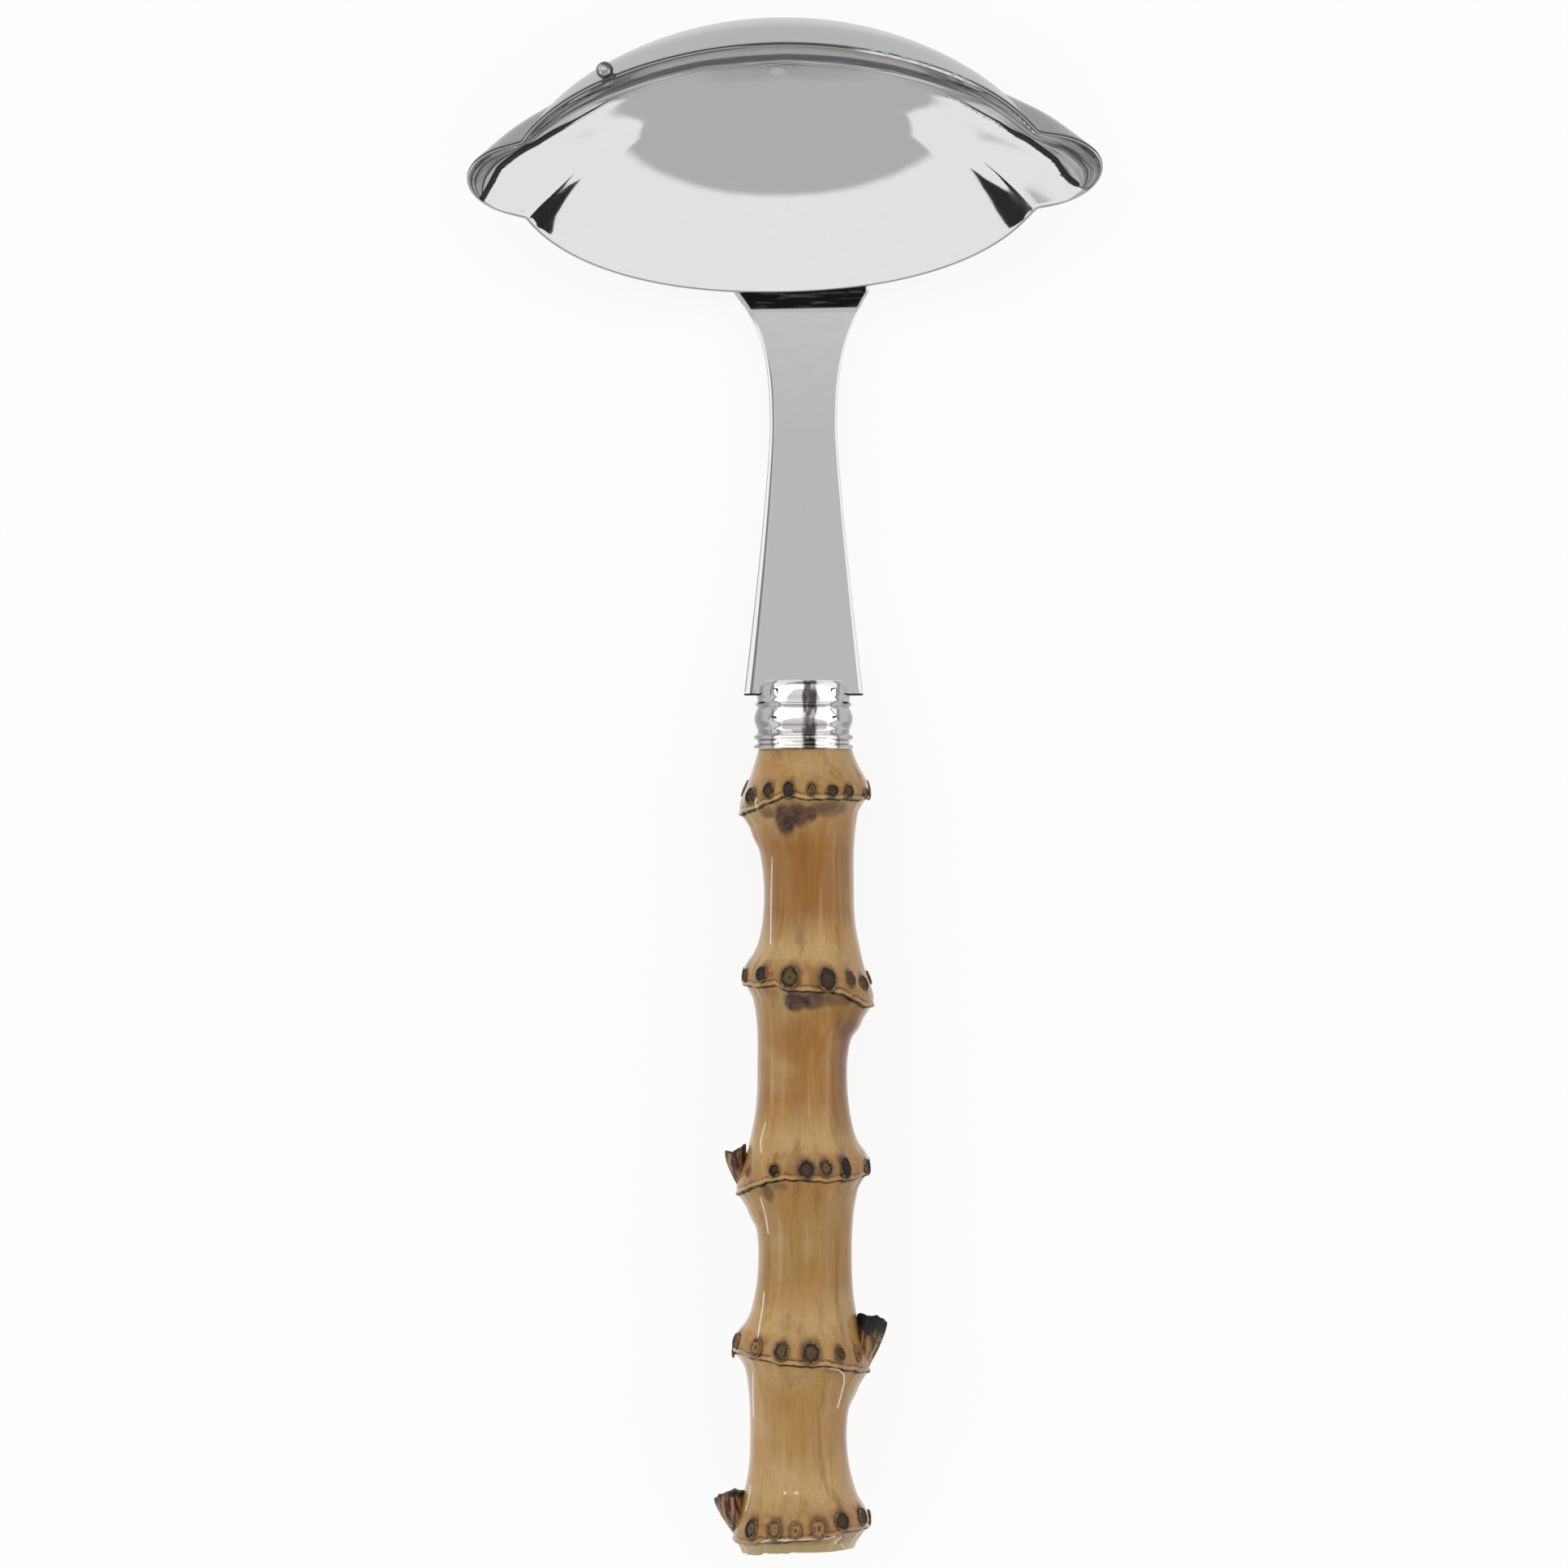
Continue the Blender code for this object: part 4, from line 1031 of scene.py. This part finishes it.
colour = t.blend(line * (0.5 + 0.5 * mottle.step(0.3, 0.6)), colour, tone(44, 28, 20))
# A pale painted highlight along the ridge over each ring, and the groove above it painted darker
ridge = gap.step(0.1, 0.25) * gap.step(0.55, 0.35) * near
colour = t.blend(ridge * mottle.step(0.58, 0.4) * 0.35, colour, tone(196, 160, 112))
groove = gap.step(0.55, 0.72) * gap.step(0.95, 0.8) * near
colour = t.blend(groove * mottle.step(0.35, 0.55) * 0.7, colour, tone(78, 48, 30))
bundles = t.noise(axes, 2.6, detail=2.0).step(0.5, 0.66)
sawn = t.blend(bundles * 0.4, tone(196, 184, 146), tone(142, 120, 82))
colour = t.blend(cut, colour, sawn)
colour = t.blend(s.step(1.9, 1.1) * 0.75, colour, tone(172, 156, 116))
glint = (t.attribute("glint") * (0.6 + 0.8 * mottle)).step(0.35, 0.8)
colour = t.blend(glint * 0.6, colour, (0.85, 0.83, 0.8))
t.finish(
    Base_Color=colour,
    Roughness=0.42 + 0.2 * mottle + 0.2 * cut,
    Specular_IOR_Level=0.1,
    Coat_Weight=1 - 0.8 * line.maths("MAXIMUM", scar.step(0.5, 0.9)),
    Coat_Roughness=0.04,
    Coat_IOR=1.42,
    Normal=t.bump(fibre * 0.05 + mottle * 0.05 * belt + cloud * 0.3, 0.6, MM),
)
root = piece("bamboo_root", points, skin(len(rows), HANDLE_AROUND), bamboo, ["bamboo_handle"])


def on_root(values, on_cap=0.0):
    """A number for each point of the root: one for all of its sawn end, then those of its skin."""
    return np.concatenate([np.full(len(caps) * HANDLE_AROUND, on_cap), values.ravel()])


marked(
    root,
    from_ring=on_root(from_ring, 9.0),
    scar_near=on_root(scar_near),
    by_knot=on_root(np.clip(1 - np.abs(from_ring) / 10, 0, 1)),
    glint=on_root(glints),
    stain=on_root(stain),
    cut=on_root(np.zeros_like(q), 1.0),
)


# Root ends: the cut and singed stumps of the roots in each knot's belt, with the rings of their
# section. The tree sets one on each point, turned and sized by the point's own numbers.
STUMP_AROUND = 24
# Section of a stump as wide as 1: distance from its middle, height over the root
STUMP_SHAPE = (
    (0.0, -0.02), (0.22, 0.0), (0.34, 0.05), (0.5, 0.0), (0.68, 0.02), (0.84, 0.14), (0.97, 0.14),
    (1.1, -0.12),
)
STUMP_HEIGHT = 0.9
STUMP_ROUGHNESS = 0.16  # how far noise pushes its points about
STUMP_SEED = 3
rings = len(STUMP_SHAPE) - 1
dots, faces = [(0.0, 0.0, STUMP_SHAPE[0][1])], []
for reach, up in STUMP_SHAPE[1:]:
    for turn in np.linspace(0, 2 * math.pi, STUMP_AROUND, endpoint=False):
        dots.append((reach * math.cos(turn), reach * math.sin(turn), up))
for k in range(STUMP_AROUND):
    n = (k + 1) % STUMP_AROUND
    faces.append((0, 1 + k, 1 + n))
    for low in range(1, 1 + (rings - 1) * STUMP_AROUND, STUMP_AROUND):
        faces.append((low + k, low + STUMP_AROUND + k, low + STUMP_AROUND + n, low + n))
faces.append(tuple(reversed(range(len(dots) - STUMP_AROUND, len(dots)))))
stump = bpy.data.meshes.new("stump")
stump.from_pydata(dots, [], faces)
marked(stump, reach=[math.hypot(right, up) for right, up, _ in dots])
stump_object = bpy.data.objects.new("stump", stump)

spots, turns = [], []
for turn, at, *_ in scars:
    radians = math.radians(turn)
    j = int(round(radians / (2 * math.pi) * HANDLE_AROUND)) % HANDLE_AROUND
    i = int(np.abs(place[:, j] - at).argmin())
    r = radius[i, j]
    spots.append((centre[i, j] + r * math.cos(radians), at, r * math.sin(radians)))
    before, after = i - 4, min(i + 4, len(stations) - 1)
    slope = (radius[after, j] - radius[before, j]) / (place[after, j] - place[before, j])
    normal = Vector((math.cos(radians), -slope, math.sin(radians))).normalized()
    upright = (Vector((0, 1, 0)) - normal * normal.y).normalized()
    turned_to = Matrix((upright.cross(normal), upright, normal)).transposed()
    turns.append(turned_to.to_euler()[:])
seats = bpy.data.meshes.new("root_ends")
seats.from_pydata(spots, [], [])
_, _, wide, tall, charred, ringed = np.transpose(scars)
marked(
    seats,
    turn=turns,
    size=np.stack([wide, tall, np.full(len(scars), STUMP_HEIGHT)], axis=-1),
    charred=charred,
    ringed=ringed,
)

belts = tree_group(
    "root_belt",
    [
        ("Stump", "NodeSocketObject"),
        ("Roughness", "NodeSocketFloat"),
        ("Seed", "NodeSocketInt"),
        ("Material", "NodeSocketMaterial"),
    ],
)
g = Geometry(belts)
as_vector = {"data_type": "FLOAT_VECTOR"}
to_place = {
    "Points": g.given("Geometry"),
    "Instance": g.add("GeometryNodeObjectInfo", {}, {"Object": g.given("Stump")}, out="Geometry"),
    "Rotation": g.add("GeometryNodeInputNamedAttribute", as_vector, {"Name": "turn"}),
    "Scale": g.add("GeometryNodeInputNamedAttribute", as_vector, {"Name": "size"}),
}
set_on = g.add("GeometryNodeInstanceOnPoints", {}, to_place)
real = g.add("GeometryNodeRealizeInstances", {}, {"Geometry": set_on})
grain = {"Scale": 1.3, "Detail": 3.0, "W": g.given("Seed")}
ragged = g.add("ShaderNodeTexNoise", {"noise_dimensions": "4D"}, grain, out="Color")
amounts = {0: g.vector("SUBTRACT", ragged, (0.5, 0.5, 0.5)), "Scale": g.given("Roughness")}
amount = g.add("ShaderNodeVectorMath", {"operation": "SCALE"}, amounts)
moved = g.add("GeometryNodeSetPosition", {}, {"Geometry": real, "Offset": amount})
g.close(g.add("GeometryNodeSetShadeSmooth", {}, {"Geometry": moved}))

singed, t = new_material("root_ends")
reach = t.attribute("reach")
charred = t.attribute("charred")
ringed = t.attribute("ringed")
grit = t.noise(t.ladle_axes(), 1.6, detail=4.0, rough=0.65)
noisy = reach + (grit - 0.5) * 0.75
rings = (noisy - 0.3).maths("ABSOLUTE").step(0.13, 0.03)
pale = t.blend(grit, tone(140, 104, 62), tone(186, 152, 104))
dark = t.blend(grit.step(0.45, 0.75), (0.005, 0.005, 0.005), (0.045, 0.03, 0.018))
black = (charred * 1.3 - 0.2 + (grit - 0.5) * 0.8).step(0.1, 0.7)
colour = t.blend(black, pale, dark)
husk = noisy.step(0.5, 0.72) * grit.step(0.38, 0.5)
colour = t.blend(ringed * (1 - 0.7 * charred) * 0.8, colour, t.blend(husk, pale, dark))
ring_tint = t.blend(charred, tone(96, 62, 40), tone(140, 106, 74))
colour = t.blend(ringed * rings * (0.75 - 0.5 * charred), colour, ring_tint)
colour = t.blend(noisy.step(0.92, 1.06), colour, t.blend(grit, tone(84, 54, 34), tone(176, 138, 92)))
t.finish(
    Base_Color=colour,
    Roughness=0.5 + 0.25 * grit,
    Specular_IOR_Level=0.2,
    Coat_Weight=0.5 - 0.4 * black,
    Coat_Roughness=0.1,
    Normal=t.bump(rings * 0.06 + grit * 0.2, 0.7, MM),
)
sizes = {"Stump": stump_object, "Roughness": STUMP_ROUGHNESS, "Seed": STUMP_SEED, "Material": singed}
grow("root_ends", belts, sizes, seats)
bpy.data.objects.remove(stump_object)


# Branch stubs: three side shoots sawn off short and singed, each growing out of a knot's flank.
# Each: side (-1 left, 1 right), foot and top along the handle, centre of the top across, radius,
# how charred
STUBS = ((1, 22.6, 30.6, 9.1, 1.75, 1.0), (-1, 46.2, 52.4, 8.8, 1.25, 0.45), (-1, 1.3, 7.7, 9.2, 1.75, 0.6))
STUB_AROUND = 48
STUB_ROOT = 7.0  # how far out from the handle's middle a stub starts
STUB_HEIGHT = 0.5
STUB_TALL = 1.15  # height of its section as a share of its width
# Sawn top of a stub: share of its length, of its width, how far sunk
STUB_TOP = ((1.0, 0.86, -0.05), (0.97, 0.72, -0.25), (0.93, 0.5, -0.45), (0.92, 0.2, -0.5))
points, faces, burnt = [], [], []
for side, foot, top, across, radius_top, charred in STUBS:
    first = len(points)
    waves = rng.uniform(0, FULL_TURN, 4)
    turns = np.linspace(0, 2 * math.pi, STUB_AROUND, endpoint=False)
    jag = 0.2 * np.sin(2 * turns + waves[0]) + 0.1 * np.sin(5 * turns + waves[1])
    jag += 0.05 * np.sin(11 * turns + waves[2])
    furrow = 0.05 * np.sin(7 * turns + waves[3]) + 0.03 * np.sin(12 * turns + waves[0])
    parts = np.linspace(0, 1, 26)
    widths = 0.5 + 0.5 * np.sin(math.pi / 2 * np.minimum(parts / 0.6, 1)) ** 0.8 + 0.08 * parts
    for part, wide, sink in [*zip(parts, widths, np.zeros(26)), *STUB_TOP]:
        at = foot + (top - foot) * part + sink
        lean = STUB_ROOT + (across - STUB_ROOT) * smooth(part * 0.9 + 0.1)
        middle = lean * side + float(handle_centre(np.array(at)))
        edge = part**3 * (1 if wide > 0.7 else 0.4)
        for turn, tooth, dent in zip(turns, jag, furrow):
            r = radius_top * wide * (1 + dent)
            along = at + (tooth - 0.5 * math.cos(turn)) * edge
            points.append(
                (middle + r * math.cos(turn) * side, along, STUB_HEIGHT + STUB_TALL * r * math.sin(turn))
            )
            burnt.append(charred * (max(0.0, (part - 0.45) / 0.55) if sink == 0 else 1.0))
    for face in skin(len(parts) + len(STUB_TOP), STUB_AROUND):
        faces.append(tuple(first + v for v in face))
stub_wood, t = new_material("branch_stubs")
burn = t.attribute("burnt")
fibre = t.noise(t.ladle_axes((1.6, 0.25, 1.6)), 1.0, detail=4.0, rough=0.6)
grit = t.noise(t.ladle_axes(), 1.1, detail=4.0, rough=0.6)
colour = t.blend(fibre.step(0.35, 0.6), tone(158, 126, 84), tone(74, 48, 32))
colour = t.blend((burn * 1.1 + (grit - 0.5) * 1.1).step(0.4, 0.75), colour, (0.01, 0.009, 0.008))
t.finish(
    Base_Color=colour,
    Roughness=0.45 + 0.3 * grit,
    Specular_IOR_Level=0.2,
    Coat_Weight=0.7 - 0.65 * burn,
    Coat_Roughness=0.08,
    Normal=t.bump(fibre * 0.15 + grit * 0.1, 0.7, MM),
)
stubs = piece("branch_stubs", points, faces, stub_wood)
marked(stubs, burnt=burnt)


# Table: a plain pale sheet far wider than the ladle. Looked at straight or in the steel it is
# lifted towards white, and still shows the ladle's shadow.
TABLE_RADIUS = 4.0
TABLE_WHITE = 0.86  # how much of its shade is lifted to white
top = bmesh.new()
bmesh.ops.create_circle(top, cap_ends=True, segments=96, radius=TABLE_RADIUS)
mesh = bpy.data.meshes.new("table")
top.to_mesh(mesh)
top.free()
table = bpy.data.objects.new("table", mesh)
bpy.context.scene.collection.objects.link(table)
paper, t = new_material("table")
speck = t.noise(t.add("ShaderNodeTexCoord", {}, {}, out="Object"), 90.0, detail=3.0)
fibres = t.blend(speck, (0.93, 0.93, 0.93), (0.96, 0.96, 0.96))
sheet = t.add("ShaderNodeBsdfDiffuse", {}, {"Color": fibres})
white = t.add("ShaderNodeEmission", {}, {"Color": (1.0, 1.0, 1.0, 1.0), "Strength": 1.0})
seen, shown, through = [
    t.add("ShaderNodeLightPath", {}, {}, out=f"Is {way} Ray") for way in ("Camera", "Glossy", "Transmission")
]
share = (seen + shown + through).maths("MINIMUM", 1.0) * TABLE_WHITE
t.add_output(t.add("ShaderNodeMixShader", {}, {0: share, 1: sheet, 2: white}))
mesh.materials.append(paper)


# Studio: a white tent all round, a grey card towards the camera and the handle end, a dark gap
# where the tent meets the table. The camera itself sees plain white.
TENT, CARD = (1.28, 1.27, 1.27), (0.7, 0.69, 0.69)
CARD_S, CARD_REACH = -0.6, 0.73  # middle and half length of the card, as parts of a direction
CARD_HALF_WIDTH = 0.7**0.5
CARD_SKEW = 0.05
world = bpy.data.worlds.new("studio")
bpy.context.scene.world = world
t = Tree(world)
direction = t.add("ShaderNodeTexCoord", {}, {}, out="Generated")
dx, ds, dh = t.parts(t.add("ShaderNodeMapping", {}, {"Vector": direction, "Rotation": (rise, 0, 0)}))
from_card = hypot(dx / CARD_HALF_WIDTH, (ds - CARD_S) / CARD_REACH)
skewed = dh + dx * CARD_SKEW
# Beside its straight upper edge the card goes on, towards the far side and in two corners
beyond = (skewed - ds).step(0.93, 0.97)
corners = ds.step(-0.66, -0.72) * dx.maths("ABSOLUTE").step(0.72, 0.68)
upper = skewed.step(0.46, 0.5).maths("MAXIMUM", beyond.maths("MAXIMUM", corners))
card = from_card.step(1.04, 0.97) * upper * dh.step(-0.1, -0.06)
gap = (dh - math.sin(rise) * ds).step(0.05, 0.03) * ds.step(-0.14, -0.04)
light = t.blend(card, TENT, CARD)
light = t.blend(gap, light, (0.02, 0.02, 0.022))
seen = t.add("ShaderNodeLightPath", {}, {}, out="Is Camera Ray")
light = t.blend(seen, light, (1.0, 1.0, 1.0))
tent = t.add("ShaderNodeBackground", {}, {"Color": light, "Strength": 1.0})
t.add_output(tent, "ShaderNodeOutputWorld")


# Flags: two black cards that stand far out beside the bowl and only show in its polish.
FLAG_X = 250.0
# Corners of each, along the handle and up. The left lip looks to the right, the right one to the left
LEFT_FLAG = ((107, 90), (130, 86), (155, 81), (183, 94), (183, 25), (136, 25), (129, 61), (117, 72))
RIGHT_FLAG = ((92, 110), (132, 114), (171, 108), (182, 92), (182, 30), (140, 30), (136, 66), (112, 95))
felt, t = new_material("felt")
nap = t.noise(t.ladle_axes(), 0.05, detail=4.0)
t.finish(Base_Color=t.blend(nap, (0.012, 0.012, 0.013), (0.02, 0.02, 0.021)), Roughness=0.9)
for name, x, corners in (("flag_right", FLAG_X, LEFT_FLAG), ("flag_left", -FLAG_X, RIGHT_FLAG)):
    mesh = bpy.data.meshes.new(name)
    mesh.from_pydata([lie @ Vector((x, s, h)) for s, h in corners], [], [tuple(range(len(corners)))])
    mesh.materials.append(felt)
    card = bpy.data.objects.new(name, mesh)
    bpy.context.scene.collection.objects.link(card)
    for ray in ("camera", "diffuse", "shadow", "transmission"):
        setattr(card, f"visible_{ray}", False)


# Camera: a long lens square over the ladle, as far off as for small cutlery.
FRAME_WIDTH = 204.2
lens = bpy.data.cameras.new("camera")
lens.lens = lens.sensor_width * VIEW_FAR / FRAME_WIDTH
lens.clip_start, lens.clip_end = 0.01, 20.0
camera = bpy.data.objects.new("camera", lens)
bpy.context.scene.collection.objects.link(camera)
camera.location = lie @ Vector((VIEW_X, VIEW_S, VIEW_FAR))
camera.rotation_euler = (-rise, 0, 0)
bpy.context.scene.camera = camera
bpy.context.scene.view_settings.view_transform = "Standard"
